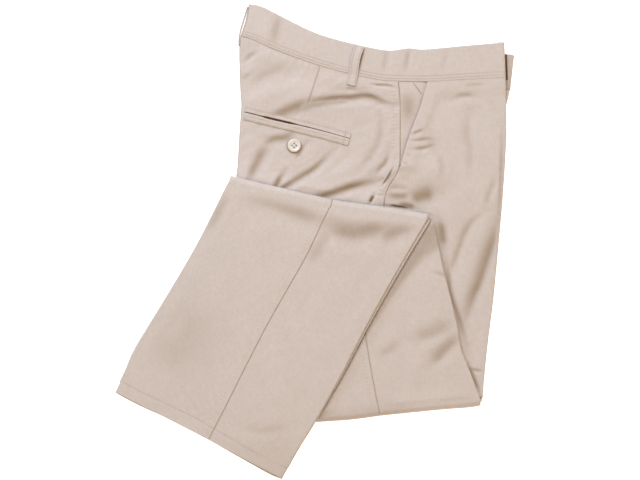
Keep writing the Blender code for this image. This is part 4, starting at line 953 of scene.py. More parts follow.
def linked(name, data):
    """A new object in the scene."""
    made = bpy.data.objects.new(name, data)
    bpy.context.scene.collection.objects.link(made)
    return made


def quads_around(number):
    """Quads between closed rings of point numbers, one ring in each row."""
    after = np.roll(number, -1, axis=-1)
    quads = np.stack([number[..., :-1, :], after[..., :-1, :], after[..., 1:, :],
                      number[..., 1:, :]], axis=-1)
    return quads.reshape(-1, 4).tolist()


def mesh_object(name, points, faces, material, shades=None, grain=0.0, turn_out=False):
    """An object from points in millimetres, smooth but for its real edges."""
    mesh = bpy.data.meshes.new(name)
    mesh.from_pydata(placed(points).tolist(), [], [list(map(int, face)) for face in faces])
    mesh.update()
    if turn_out:
        outward = bmesh.new()
        outward.from_mesh(mesh)
        bmesh.ops.recalc_face_normals(outward, faces=outward.faces)
        outward.to_mesh(mesh)
        outward.free()
    if shades is not None:
        # each point's share of painted shade, which the twill's colour darkens by
        depth = mesh.attributes.new("painted_shade", "FLOAT", "POINT")
        depth.data.foreach_set("value", np.clip(shades, 0.0, 1.0).astype(np.float32))
    along = (math.cos(math.radians(grain)), math.sin(math.radians(grain)))
    grain_map = mesh.uv_layers.new(name="grain")
    corners = np.zeros(len(mesh.loops), np.int32)
    mesh.loops.foreach_get("vertex_index", corners)
    flat = np.asarray(points, float)[corners] * MM
    across = flat[:, 0] * along[0] + flat[:, 1] * along[1]
    down = flat[:, 1] * along[0] - flat[:, 0] * along[1] + flat[:, 2]
    grain_map.data.foreach_set("uv", np.stack([across, down], axis=1).ravel().astype(np.float32))
    mesh.shade_smooth()
    mesh.set_sharp_from_angle(angle=math.radians(55))
    mesh.materials.append(material)
    return linked(name, mesh)


def dressed(piece, slot, *nodes):
    """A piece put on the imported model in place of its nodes."""
    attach(piece, BODY)
    if nodes:
        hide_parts(*nodes)
    return piece


LEAST_SHARE = 0.31     # of a cut's box that its cloth fills


def cut_size(grid):
    """Flat width, length and area in metres of the cut that a grid of plan points shows."""
    grid = np.asarray(grid, float)[..., :2]
    across = np.linalg.norm(np.diff(grid, axis=1), axis=2).sum(axis=1).max()
    down = np.linalg.norm(np.diff(grid, axis=0), axis=2).sum(axis=0).max()
    side_a = grid[1:, :-1] - grid[:-1, :-1]
    side_b = grid[:-1, 1:] - grid[:-1, :-1]
    area = np.abs(side_a[..., 0] * side_b[..., 1] - side_a[..., 1] * side_b[..., 0]).sum()
    share = min(max(area / (across * down), LEAST_SHARE), 1.0)
    width, length = float(across) * MM, float(down) * MM
    return (width, length), width * length * share


# ---- materials ----

def linear(colour_hex):
    """Linear colour of an sRGB hex value."""
    parts = [int(colour_hex[k:k + 2], 16) / 255.0 for k in (1, 3, 5)]
    return tuple(c / 12.92 if c <= 0.04045 else ((c + 0.055) / 1.055) ** 2.4 for c in parts)


def add(tree, kind, inputs=(), **settings):
    """Add a node with its settings, values and links."""
    made = tree.nodes.new(kind)
    for key, value in settings.items():
        setattr(made, key, value)
    for socket, value in dict(inputs).items():
        if isinstance(value, bpy.types.NodeSocket):
            tree.links.new(value, made.inputs[socket])
        else:
            made.inputs[socket].default_value = value
    return made


def new_material(name, values):
    """A node material with plain values on its shader."""
    material = bpy.data.materials.new(name)
    material.use_nodes = True
    tree = material.node_tree
    shader = tree.nodes["Principled BSDF"]
    for socket, value in values.items():
        shader.inputs[socket].default_value = value
    return material, tree, shader


def varied(name, values, colour, kind, pattern, span, sockets=("Base Color",), **settings):
    """A material whose colour varies within a span of shares, by a pattern over the object."""
    material, tree, shader = new_material(name, values)
    place = add(tree, "ShaderNodeTexCoord").outputs["Object"]
    shares = add(tree, kind, {"Vector": place, **pattern}, **settings).outputs["Fac"]
    tone = add(tree, "ShaderNodeMapRange", {"Value": shares, "To Min": span[0],
                                            "To Max": span[1]})
    shaded = add(tree, "ShaderNodeVectorMath", {0: colour, 3: tone.outputs[0]}, operation="SCALE")
    for socket in sockets:
        tree.links.new(shaded.outputs[0], shader.inputs[socket])
    return material


HALF_CREASE = 0.31      # light lost at half depth, as a power of what is lost at full depth


def twill(name, light, deep, pitch_mm, bump_mm):
    """Cotton twill: a matt 2/1 weave with fine slanting ribs, piece-dyed, pressed flat.
    It gives the eye a soft, even colour with faint slubs, and a slight bloom of loose fibre at
    glancing angles; painted shade turns the colour browner in the creases, seams and shadows."""
    material, tree, shader = new_material(name, {
        "Roughness": 0.86, "IOR": 1.47, "Specular IOR Level": 0.25, "Sheen Weight": 0.12,
        "Sheen Roughness": 0.5})
    grain = add(tree, "ShaderNodeUVMap", uv_map="grain").outputs["UV"]
    ribs = add(tree, "ShaderNodeTexWave", {"Vector": grain, "Distortion": 1.2, "Detail": 1.0,
                                           "Scale": 0.2 * math.pi / (pitch_mm * MM * 2 ** 0.5)},
               wave_type="BANDS", bands_direction="DIAGONAL").outputs["Fac"]
    slubs = []
    for stretch in ((1.0, 0.22, 1.0), (0.22, 1.0, 1.0)):
        drawn = add(tree, "ShaderNodeVectorMath", {0: grain, 1: stretch}, operation="MULTIPLY")
        slubs.append(add(tree, "ShaderNodeTexNoise", {"Vector": drawn.outputs[0], "Detail": 3.0,
                                                      "Scale": 1.0 / (2.0 * MM)}).outputs["Fac"])
    yarn = add(tree, "ShaderNodeMath", {0: slubs[0], 1: slubs[1]}, operation="ADD").outputs[0]
    wash = add(tree, "ShaderNodeTexNoise", {"Vector": grain, "Scale": 1.0 / (30.0 * MM),
                                            "Detail": 4.0}).outputs["Fac"]
    # each point's share of painted shade, from creases, seams and shadows
    depth = add(tree, "ShaderNodeAttribute", attribute_name="painted_shade").outputs["Fac"]
    fine = add(tree, "ShaderNodeMapRange", {"Value": yarn, "From Min": 0.5, "From Max": 1.5,
                                            "To Min": 0.91, "To Max": 1.09})
    factor = fine
    for value, least, most in ((wash, 0.96, 1.04), (ribs, 0.97, 1.02)):
        tone = add(tree, "ShaderNodeMapRange", {"Value": value, "To Min": least, "To Max": most})
        factor = add(tree, "ShaderNodeMath", {0: factor.outputs[0], 1: tone.outputs[0]},
                     operation="MULTIPLY")
    tint = add(tree, "ShaderNodeValToRGB", {"Fac": depth})
    shares = np.divide(deep, light)
    tint.color_ramp.elements[0].color = (1.0, 1.0, 1.0, 1.0)
    tint.color_ramp.elements[1].color = (*shares, 1.0)
    tint.color_ramp.elements.new(0.5).color = (*(shares ** HALF_CREASE), 1.0)
    dyed = add(tree, "ShaderNodeVectorMath", {0: tint.outputs["Color"], 1: light},
               operation="MULTIPLY")
    colour = add(tree, "ShaderNodeVectorMath", {0: dyed.outputs[0], 3: factor.outputs[0]},
                 operation="SCALE")
    tree.links.new(colour.outputs[0], shader.inputs["Base Color"])
    relief = add(tree, "ShaderNodeMath", {0: ribs, 1: 0.6, 2: yarn}, operation="MULTIPLY_ADD")
    bump = add(tree, "ShaderNodeBump", {"Height": relief.outputs[0], "Strength": 0.6,
                                        "Distance": bump_mm * MM})
    tree.links.new(bump.outputs[0], shader.inputs["Normal"])
    return material


def thread(name, colour):
    """Polyester-wrapped sewing thread, two plies: it gives small smooth glints in a row."""
    return varied(name, {"Roughness": 0.55, "IOR": 1.5}, colour, "ShaderNodeTexWave",
                  {"Scale": 0.2 * math.pi / (0.5 * MM)}, (0.88, 1.05),
                  wave_type="BANDS", bands_direction="DIAGONAL")


def cast_resin(name, colour):
    """Cast polyester, turned and tumbled: an ivory button with a soft shine and faint swirl."""
    return varied(name, {"Roughness": 0.32, "IOR": 1.55, "Coat Weight": 0.2,
                         "Coat Roughness": 0.15}, colour, "ShaderNodeTexNoise",
                  {"Scale": 1.0 / (4.0 * MM), "Detail": 3.0, "Distortion": 1.5}, (0.92, 1.06))


def white_paper(name, colour):
    """Matt white paper lit from behind, as on a light table: it shows no shadow of the cloth,
    and the faintest mottling."""
    return varied(name, {"Emission Strength": 0.85, "Roughness": 0.95,
                         "Specular IOR Level": 0.1}, colour, "ShaderNodeTexNoise",
                  {"Scale": 3.0}, (0.99, 1.01), ("Base Color", "Emission Color"))


def finish(kind):
    """The finish of that kind, made once."""
    if kind in bpy.data.materials:
        return bpy.data.materials[kind]
    scene = bpy.context.scene
    cloth, sewing = scene.chino_cloth, scene.chino_sewing
    pitch = cloth.twill_pitch / MM
    maker, *values = {
        TWILL: (twill, cloth.colour, cloth.deep_shade_colour, pitch, 0.05),
        TWILL_INSIDE: (twill, cloth.inner_colour, cloth.deep_shade_colour, pitch, 0.05),
        # the strip in the pocket's mouth takes only the colour of its painted shade
        POCKETING: (twill, cloth.mouth_shade_colour, cloth.mouth_shade_colour, pitch, 0.03),
        THREAD: (thread, sewing.thread_colour),
        RESIN: (cast_resin, sewing.button_colour),
        PAPER: (white_paper, scene.chino_studio.paper_colour),
    }[kind]
    return maker(kind, *values)


TWILL = "piece-dyed cotton twill"
TWILL_INSIDE = "cotton twill, wrong side"
POCKETING = "cotton pocketing in shade"
THREAD = "core-spun sewing thread"
RESIN = "cast polyester resin"
PAPER = "white paper"

# ---- the layers that the folds hide ----

HALF_TUBE = 3.5        # top of the lower tube of a level
LAYERS_TOP = 4.6       # top of the layers behind the panels
LAYERS_COLUMNS = 44
LAYERS_RECESS = 12.0   # the upper layers stand back behind a panel's crease
RECESS_LEVEL_3 = 16.0
RECESS_AT_WAIST = 20.0
TUBE_SETBACK = 0.5
NOSE_LAYERS = 5.6      # radii of the layers inside a fold across the legs
NOSE_MIDDLE = 3.75
NOSE_INNER = 1.3
NOSE_LEDGE = 0.9
NOSE_END = 0.978       # fold B's layers end before the edge of level 2
NOSE_TURNS = 14
EDGE_PUFF = 1.7        # the left leg's crease stands up beside the right leg's
RAMP_SLACK = 1.1       # the layers are thinner by this where they drape
ROUND_EDGE = 1.7
ROUND_STEPS = np.linspace(0.06, 0.94, 8)
BAND_LAYERS = (2.8, 3.4)
BAND_LAYERS_LIFT = (12.0, 0.2)
LEFT_LEG_SHOWS = 1.6   # its crease stands out past the right leg's, near the hem
HEM_OPENING = 14.0     # the separate layers show this deep inside the hems
HEM_POINTS = 80        # on each half of the left hem's tube
HEM_SLIT = (0.99, 0.2)   # share of the tube's width and of its height that is open
UNDER_LAYER = (0.2, 1.4)   # from underneath to top, above the left hem's tube


def section(points, levels, insets):
    """Points round one section of the folded layers, along one surface and back."""
    points = np.asarray(points, float)
    length = length_of(points)

    def place(fractions, level):
        shift, heights = level
        at = np.linspace(0.0, 1.0, len(points))
        z = np.interp(fractions, at, heights)
        return np.column_stack([resample(points, fractions) + shift, z])

    def side(fraction, start, end, bulge):
        t = ROUND_STEPS[:, None]
        round_it = place(fraction + bulge * np.sin(math.pi * ROUND_STEPS), start)
        edge_start, edge_end = place([fraction], start), place([fraction], end)
        return edge_start * (1.0 - t) + edge_end * t + round_it - edge_start

    def bulge_of(level, following):
        sideways = np.linalg.norm(np.subtract(following[0], level[0]))
        return min((abs(following[1][0] - level[1][0]) + sideways) / 2, ROUND_EDGE)

    first, middle, second = levels
    bulge_1, bulge_2 = bulge_of(first, middle), bulge_of(middle, second)
    start_1, start_2 = (insets[0] + bulge_1) / length, (insets[1] + bulge_2) / length
    return np.vstack([
        place(np.linspace(start_1, 1.0 - start_1, LAYERS_COLUMNS), first),
        side(1.0 - start_1, first, middle, bulge_1 / length),
        place([1.0 - start_1, 1.0 - start_2], middle),
        side(1.0 - start_2, middle, second, bulge_2 / length),
        place(np.linspace(1.0 - start_2, start_2, LAYERS_COLUMNS), second),
        side(start_2, second, middle, -bulge_2 / length),
        place([start_2, start_1], middle),
        side(start_1, middle, first, -bulge_1 / length),
    ])


def flat_section(points, heights, insets):
    """A section of a level that lies flat."""
    level = np.ones(len(points))
    return section(points, [((0.0, 0.0), height * level) for height in heights], insets)


def draped_section(points):
    """A section of level 3, which comes down over the edge of the stack."""
    beyond = outside(points[:, 0], points[:, 1], STACK)
    slack = RAMP_SLACK * step((beyond + 12.0) / 10.0) * (1.0 - step((beyond - DRAPE_RUN) / 10.0))
    carried = support(points[:, 0], points[:, 1])
    heights = (carried + slack, carried + HALF_TUBE - 1.5 * slack, carried + LAYERS_TOP - slack)
    heights[1][-1] += EDGE_PUFF
    return section(points, [((0.0, 0.0), height) for height in heights], (0.0, RECESS_LEVEL_3))


def fold_sections(base, out, centre, outer_first, insets):
    """The sections round a fold across the legs."""
    made = []
    for angle in np.linspace(0.0, math.pi, NOSE_TURNS + 1):
        levels = []
        for radius, back in ((NOSE_LAYERS, NOSE_LEDGE), (NOSE_MIDDLE, NOSE_LEDGE),
                             (NOSE_INNER, NOSE_INNER)):
            push = radius * math.sin(angle) - back
            height = centre - radius * math.cos(angle)
            levels.append((np.asarray(out) * push, np.full(len(base), height)))
        made.append(section(base, levels if outer_first else levels[::-1], insets))
    return made


def inset(points, distance, count, to_a=False):
    """A crease line from fold B's base line on, moved in by a distance."""
    return cut(shifted(smooth(points), distance)[::10], count, from_b=True, to_a=to_a)


def base_row(base, left, right, count):
    """The stretch of a fold's base line between two points of it."""
    return part_of(base, left[0], right[0], count)


def layer_rows():
    """Rows of plan points of the folded layers, level by level."""
    columns = LAYERS_COLUMNS + 4
    left = cut(LEFT_SEAT_EDGE, 56, to_a=True)
    right = cut(LEFT_FRONT_EDGE, 56, to_a=True)
    rows_1 = plan(left, right, columns, top=line(LEFT_BAND_SEAM, columns),
                  bottom=base_row(BASE_A, left[-1], right[-1], columns))
    left = cut(BACK_CREASE_2, 32, from_b=True, to_a=True)[::-1]
    right = cut(FRONT_CREASE_2, 32, from_b=True, to_a=True)[::-1]
    rows_2 = plan(left, right, columns, top=base_row(BASE_A, left[0], right[0], columns),
                  bottom=base_row(BASE_B, left[-1], right[-1], columns))
    left = cut(BACK_CREASE_3, 90, from_b=True)
    left[:, 0] -= LEFT_LEG_SHOWS * step(np.linspace(-0.6, 1.4, len(left)))
    right = cut(LEFT_FRONT_CREASE_3, 90, from_b=True)
    rows_3 = plan(left, right, columns, bottom=line(LEFT_HEM, columns),
                  top=base_row(BASE_B, left[0], right[0], columns))
    return rows_1, rows_2, rows_3


def layer_sections(rows_1, rows_2, rows_3):
    """All sections of the folded layers, from the waist to inside the hems."""
    made = []
    for lift in BAND_LAYERS_LIFT:
        made.append(flat_section(rows_1[0] + (0.0, lift), BAND_LAYERS + (LAYERS_TOP,),
                                 (RECESS_AT_WAIST, RECESS_AT_WAIST)))
    rows_1[0] -= (0.0, 2.0 * GAP + GAP)
    rows_1[-1] -= OUT_A * NOSE_LEDGE
    for number, row in enumerate(rows_1):
        wide = 1.0 - step((number / len(rows_1) - 0.16) / 0.08)
        recess = LAYERS_RECESS + (RECESS_AT_WAIST - LAYERS_RECESS) * wide
        made.append(flat_section(row, (0.0, HALF_TUBE, LAYERS_TOP), (TUBE_SETBACK, recess)))
    made += fold_sections(rows_1[-1] + OUT_A * NOSE_LEDGE, OUT_A, TURN_RADIUS, True,
                          (LAYERS_RECESS, TUBE_SETBACK))
    rows_2[-1] -= OUT_B * NOSE_LEDGE
    heights = (LEVEL_RISE + LAYERS_TOP, LEVEL_RISE + HALF_TUBE, LEVEL_RISE)
    for row in rows_2:
        made.append(flat_section(row, heights, (LAYERS_RECESS, TUBE_SETBACK)))
    nose = resample(rows_2[-1], np.linspace(0.0, NOSE_END, len(rows_2[-1])))
    made += fold_sections(nose + OUT_B * NOSE_LEDGE, OUT_B, LEVEL_RISE + TURN_RADIUS,
                          False, (TUBE_SETBACK, RECESS_AT_WAIST))
    made += [draped_section(row) for row in rows_3]
    return np.stack(made)


INNER_EDGE_SHADE = 0.05  # on the strip of the left leg beside the right leg's edge


def build_layers():
    """The hidden layers, one rounded block under the panels, open at the hems."""
    material = finish(TWILL_INSIDE)
    rows_1, rows_2, rows_3 = layer_rows()
    kept = len(rows_3) - round(HEM_OPENING / (length_of(rows_3[:, 0]) / len(rows_3)))
    sections = layer_sections(rows_1, rows_2, rows_3[:kept])
    count, size = sections.shape[:2]
    number = np.arange(count * size).reshape(count, size)
    faces = quads_around(number)
    half, columns = size // 2, LAYERS_COLUMNS
    for ring in (number[0], number[-1]):
        first, second = ring[:columns], ring[half:half + columns][::-1]
        faces += np.stack([first[:-1], first[1:], second[1:], second[:-1]], axis=1).tolist()
        faces.append(ring[columns - 1:half + 1].tolist())
        faces.append(ring[half + columns - 1:].tolist() + [int(ring[0])])
    points = sections.reshape(-1, 3)
    edge = beside(points[:, 0], points[:, 1], LEFT_FRONT_CREASE_3)[0]
    piece = mesh_object("folded_layers", points, faces, material,
                        INNER_EDGE_SHADE * bell(edge, 4.0), turn_out=True)
    dressed(piece, "cotton_twill_inner", "hidden_layers")
    hem = hem_layers(rows_3[kept - 2:], material)
    for opening in hem:
        dressed(opening, "cotton_twill_inner")


def hem_layers(rows, material):
    """The hem of the left leg, a flat tube, and the lower layer of the right leg's hem."""
    seen = LAYERS_COLUMNS + len(ROUND_STEPS)
    around, inner = [], []
    for row, height in zip(rows, support(rows[..., 0], rows[..., 1])):
        halves = []
        for rises, order in (((0.0, HALF_TUBE, HALF_TUBE + 0.1), 1),
                             ((HALF_TUBE, 0.0, -0.1), -1)):
            levels = [((0.0, 0.0), height + rise) for rise in rises]
            half = section(row, levels, (0.0, 0.0))[:seen][::order]
            halves.append(resample(half, np.linspace(0.0, 1.0, HEM_POINTS)))
        ring = np.vstack(halves)
        middle = np.append(ring[:, :2].mean(axis=0), height.mean() + HALF_TUBE / 2)
        slit = middle + (ring - middle) * (HEM_SLIT[0], HEM_SLIT[0], HEM_SLIT[1])
        around.append(np.vstack([ring, ring[:1]]))
        inner.append(np.vstack([slit, slit[:1]]))
    around, inner = np.stack(around), np.stack(inner)
    flat = np.stack([resample(row, np.linspace(0.05, 0.95, 60)) for row in rows])
    height = support(flat[..., 0], flat[..., 1]) + HALF_TUBE
    lower, upper = (np.dstack([flat, height + rise]) for rise in UNDER_LAYER)
    return [shell("left_hem_opening", around, inner, 0.0 * around[..., 0], material),
            shell("right_hem_under_layer", upper, lower, 0.0 * height, material)]


# ---- panels ----

HEM_FOLD = 0.8         # its turned-up layer at the hems
NEAR_SEAM = (0.0, 0.4, 0.8, 1.3, 1.9, 2.6, 3.4, 4.4, 5.4, 6.3, 7.1, 7.9, 8.7, 9.5, 10.6)
NEAR_MOUTH = (0.0, 0.3, 0.6, 1.0, 1.5, 2.1, 2.9, 4.0)
NEAR_PLAIN = (0.0, 0.4, 0.8, 1.3, 2.0, 2.9)
NEAR_HEM = (0.0, 0.5, 1.2, 2.4, 4.0, 6.0, 8.0, 10.0, 12.0, 13.2, 14.0, 14.5, 15.0, 15.5, 16.0,
            16.8, 18.0)
# lengths that set how many points the grids get
BACK_ROWS, BACK_ROWS_BELOW = 225.0, 12       # the second in rows, under the other levels
BACK_COLUMNS = ((0.0, 0.4, 80.0), (0.4, 0.56, 60.0), (0.56, 1.0, 84.0))   # finest at the dart
FRONT_ROWS, FRONT_ROWS_BELOW = 165.0, 216.0
KNEE_ROWS, KNEE_COLUMNS = 250.0, 118.0
KNEE_TUCK = 0.8        # level 2 runs on under fold B by this
SHIN_ROWS, PANEL_COLUMNS = 300.0, 112.0
BAND_COLUMNS = 325.0


def spaced(length, pitch, near_start=(), near_end=()):
    """Fractions of a length, about a pitch apart, with given distances near its ends."""
    near_start = np.asarray(near_start or (0.0,), float)
    near_end = length - np.asarray(near_end or (0.0,), float)[::-1]
    count = max(int(round((near_end[0] - near_start[-1]) / pitch)), 1) + 1
    even = np.linspace(near_start[-1], near_end[0], count)
    return np.concatenate([near_start[:-1], even, near_end[1:]]) / length


def grid_pitch():
    """From point to point of the cloth's grids, in millimetres."""
    return bpy.context.scene.chino_cloth.grid_pitch / MM


def steps_in(length):
    """How many grid steps a length takes."""
    return round(length / grid_pitch())


def run_in(grid):
    """Carry a grid in under the waistband, and end it before the inside of fold A."""
    grid[0, :, 1] += SEAM_RUN_IN
    grid[-1] -= OUT_A * INNER_END


def lanes_1(rows_seen, rows_below):
    """Edges and seams of level 1, with the same rows on each."""
    rolled = TUBE / 2
    seat = joined(line(SEAT_EDGE, rows_seen), cut(BACK_CREASE_1, rows_below, to_a=True))
    seam = joined(line(SIDE_SEAM, rows_seen), cut(SIDE_SEAM_1, rows_below, to_a=True))
    front = joined(line(FRONT_EDGE, rows_seen), cut(FRONT_CREASE_1, rows_below, to_a=True))
    return shifted(seat, rolled), seam, shifted(front, -rolled)


def mouth_beside(seam):
    """The pocket mouth's points level with a seam's, for the rows that it reaches."""
    mouth = smooth(POCKET_MOUTH)[::-1]
    reached = seam[:, 1] > POCKET_MOUTH[-1][1]
    x = np.interp(seam[:, 1], mouth[:, 1], mouth[:, 0])
    return reached, np.stack([x, seam[:, 1]], axis=1)


def build_trunk():
    """Right back and front panels from the waist to fold A, and the pocket's facing."""
    seat, seam, _ = lanes_1(steps_in(BACK_ROWS), BACK_ROWS_BELOW)
    even = np.concatenate([np.linspace(start, end, steps_in(length), endpoint=end == 1.0)
                           for start, end, length in BACK_COLUMNS])
    across = len(even) + len(NEAR_SEAM)
    top = part_of(WAIST_SEAM, seat[0][0], SEAM_AT_SIDE, across)
    seat[0], seam[0] = top[0], top[-1]
    grid = plan(seat, seam, even, top=top,
                bottom=base_row(BASE_A, seat[-1], seam[-1], across), near_right=NEAR_SEAM)
    run_in(grid)
    cloth = Cloth(grid, back_form)
    cloth.crease(at_right=False)
    back = dressed(cloth.piece("right_back_panel", THIGH_GRAIN), "cotton_twill",
                   "right_back_seat")

    _, seam, front = lanes_1(steps_in(FRONT_ROWS), steps_in(FRONT_ROWS_BELOW))
    reached, mouth = mouth_beside(seam)
    left = np.where(reached[:, None], mouth, seam)
    columns = steps_in(PANEL_COLUMNS)
    across = columns + len(NEAR_MOUTH)
    top = part_of(WAIST_SEAM, SEAM_AT_SLANT, front[0][0], across)
    left[0], front[0] = top[0], top[-1]
    grid = plan(left, front, columns, top=top,
                bottom=base_row(BASE_A, left[-1], front[-1], across), near_left=NEAR_MOUTH)
    run_in(grid)
    cloth = Cloth(grid, front_form)
    cloth.crease(at_right=True, dark=0.5)
    thigh = dressed(cloth.piece("right_front_panel", THIGH_GRAIN), "cotton_twill",
                    "right_front_thigh")

    left = seam[reached]
    right = mouth[reached] + np.array([POCKET_UNDERLAP, 0.0])
    grid = plan(left, right, 22, near_left=NEAR_PLAIN)
    grid[0, :, 1] += SEAM_RUN_IN
    cloth = Cloth(grid, facing_form)
    facing = dressed(cloth.piece("pocket_facing", FACING_GRAIN), "cotton_twill",
                     "side_pocket_facing")


def leg_grid(left, right, length, seam_at_right, to_a=False):
    """Grid of a panel from fold B's base line on, finest beside its seam."""
    columns = steps_in(length)
    across = columns + len(NEAR_SEAM)
    bottom = base_row(BASE_A, left[-1], right[-1], across) if to_a else None
    near = {"near_right": NEAR_SEAM} if seam_at_right else {"near_left": NEAR_PLAIN}
    return plan(left, right, columns, top=base_row(BASE_B, left[0], right[0], across),
                bottom=bottom, **near)


def build_knees():
    """Left back and front panels at the knee, from inside fold B round fold A."""
    rows = steps_in(KNEE_ROWS)
    back = inset(BACK_CREASE_2, 4.0, rows, to_a=True)
    seam = cut(SIDE_SEAM_2, rows, from_b=True, to_a=True)
    front = inset(FRONT_CREASE_2, -TUBE / 2, rows, to_a=True)
    for name, node, left, right, is_back in (
            ("left_back_knee_panel", "left_back_knee", back, seam, True),
            ("left_front_knee_panel", "left_front_knee", seam, front, False)):
        grid = leg_grid(left, right, KNEE_COLUMNS, is_back, to_a=True)
        grid[0] -= OUT_B * KNEE_TUCK
        cloth = Cloth(grid, knee_form)
        if not is_back:
            cloth.crease(at_right=True, fold_row=-1)
        cloth.turn(True, OUT_A)
        piece = dressed(cloth.piece(name, KNEE_GRAIN), "cotton_twill", node)


def build_shins():
    """Right back and front panels at the shin, from the underside of fold B to the hem."""
    down = spaced(SHIN_ROWS, grid_pitch(), near_end=NEAR_HEM)
    back = inset(BACK_CREASE_3, TUBE / 2, down)
    seam = cut(SIDE_SEAM_3, down, from_b=True)
    front = inset(FRONT_CREASE_3, -TUBE / 2, down)
    for name, node, left, right, is_back in (
            ("right_back_shin_panel", "right_back_shin", back, seam, True),
            ("right_front_shin_panel", "right_front_shin", seam, front, False)):
        grid = leg_grid(left, right, PANEL_COLUMNS, is_back)
        cloth = Cloth(grid, shin_form, support)
        cloth.crease(at_right=not is_back, fold_row=0, dark=ROLL_SHADE if is_back else 0.0)
        cloth.turn(False, OUT_B)
        to_hem = np.abs(beside(cloth.points[..., 0], cloth.points[..., 1], DENSE_HEM)[0])
        wall = WALL + HEM_FOLD * (1.0 - step((to_hem - HEM_DEPTH) / 1.0))
        piece = dressed(cloth.piece(name, SHIN_GRAIN, wall), "cotton_twill", node)


# ---- waistband, loops and pocket ----

RIM_STEPS = (0.0, 0.05, 0.16, 0.36, 0.7, 1.1)
BAND_END_STEPS = tuple(np.arange(1.6, 15.0, 0.6))
STRIP_STEPS = RIM_STEPS[:5]
BAND_DEPTH, BAND_PITCH = 40.0, 0.8
BAND_SEWN_DEPTH = 38.0
STRIP_PITCH = 0.6


def rim_profile(nearest, wall):
    """How far a rounded rim drops at a distance from it, and the wall left there."""
    radius = wall / 2
    inward = np.maximum(radius - nearest, 0.0)
    drop = radius - np.sqrt(np.maximum(radius ** 2 - inward ** 2, 0.05 ** 2))
    return drop, wall - 2.0 * drop


def rounded_strip(name, grid, form, wall, grain):
    """A strip of twill with rounded rims, as an object."""
    x, y = grid[..., 0], grid[..., 1]
    height, shade = form(x, y)
    runs = []
    for axis in (0, 1):
        steps = np.linalg.norm(np.diff(grid, axis=axis), axis=2)
        gone = np.cumsum(steps, axis=axis)
        gone = np.concatenate([np.zeros_like(gone.take([0], axis)), gone], axis=axis)
        runs += [gone, gone.take([-1], axis) - gone]
    drop, left = rim_profile(np.minimum.reduce(runs), wall)
    outer = np.dstack([x, y, height - drop])
    inner = np.dstack([x, y, height - drop - left])
    return shell(name, outer, inner, shade, finish(TWILL), grain)


def left_band_form(x, y):
    """Top and shade of the left half of the waistband, darkest beside the right half's end."""
    low, high = WAIST_SEAM[-1], WAIST_TOP[-1]
    past_end = x - np.interp(y, (low[1], high[1]), (low[0], high[0]))
    gap = (1.0 - step((past_end - 2.4) / 0.8)) * step((y - low[1] + 3.0) / 1.5)
    seam = 0.5 * bell(y - LEFT_BAND_SEAM[-1][1] + 0.4, 0.6)
    return np.full(np.shape(x), BAND_WALL), np.maximum.reduce([gap, seam, 0.16 + 0.0 * x])


def build_waistband():
    """Both halves of the waistband, folded double and rolled over at the ends."""
    down = spaced(BAND_DEPTH, BAND_PITCH, RIM_STEPS, RIM_STEPS)
    left = resample([WAIST_TOP[0], (-82.5, 265.0), WAIST_SEAM[0]], down)
    left[:, 0] += BAND_ROLL
    right = resample([WAIST_TOP[-1], WAIST_SEAM[-1]], down)
    right[:, 0] -= BAND_ROLL
    columns = steps_in(BAND_COLUMNS)
    bottom = part_of(WAIST_SEAM, left[-1][0], right[-1][0], columns)
    left[-1], right[-1] = bottom[0], bottom[-1]
    grid = plan(left, right, columns, top=part_of(WAIST_TOP, -77.0, 226.0, columns),
                bottom=bottom, down=down)
    drop, wall = rim_profile(np.minimum(down, 1.0 - down) * BAND_SEWN_DEPTH, BAND_WALL)
    cloth = Cloth(grid, band_form)
    cloth.points[..., 2] -= drop[:, None]
    cloth.crease(False, BAND_ROLL, 0.0)
    cloth.crease(True, BAND_ROLL, BAND_TUCK)
    upper = dressed(cloth.piece("right_waistband", BAND_GRAIN, wall[:, None]),
                    "cotton_twill", "waistband_right")

    left = resample([LEFT_BAND_TOP[0], LEFT_BAND_SEAM[0]], down)
    right = resample([LEFT_BAND_TOP[-1], LEFT_BAND_SEAM[-1]], down)
    across = spaced(BAND_COLUMNS, 3.0, RIM_STEPS, RIM_STEPS + BAND_END_STEPS)
    grid = plan(left, right, across, top=line(LEFT_BAND_TOP, len(across)),
                bottom=line(LEFT_BAND_SEAM, len(across)), down=down)
    grid[-1, :, 1] -= 2.0
    lower = rounded_strip("left_waistband", grid, left_band_form, BAND_WALL, BAND_GRAIN)
    dressed(lower, "cotton_twill", "waistband_left")


def side_loop_form(x, y):
    """Top and shade of the side belt loop: over the waistband, then down to the panel."""
    middle = (SIDE_LOOP[0][1] + SIDE_LOOP[2][1]) / 2
    reach = (SIDE_LOOP[0][1] - SIDE_LOOP[2][1]) / 2
    bow = LOOP_BOW * np.clip(1.0 - ((y - middle) / reach) ** 2, 0.0, 1.0)
    low = trunk_form(x, y)[0] + waist_rise(x, y) + 0.1
    over = step((y - LOOP_STEP[0]) / (LOOP_STEP[1] - LOOP_STEP[0]))
    side, along = beside(x, y, smooth(SIDE_LOOP))
    row, shade = stitch_form(np.abs(side) - LOOP_ROW, along, dark=0.22)
    height = LOOP_WALL + GAP + low + (BAND_TOP - low + bow) * over + row
    height = height + 0.35 * over * step((side - 1.0) / 5.0)
    return height, shade


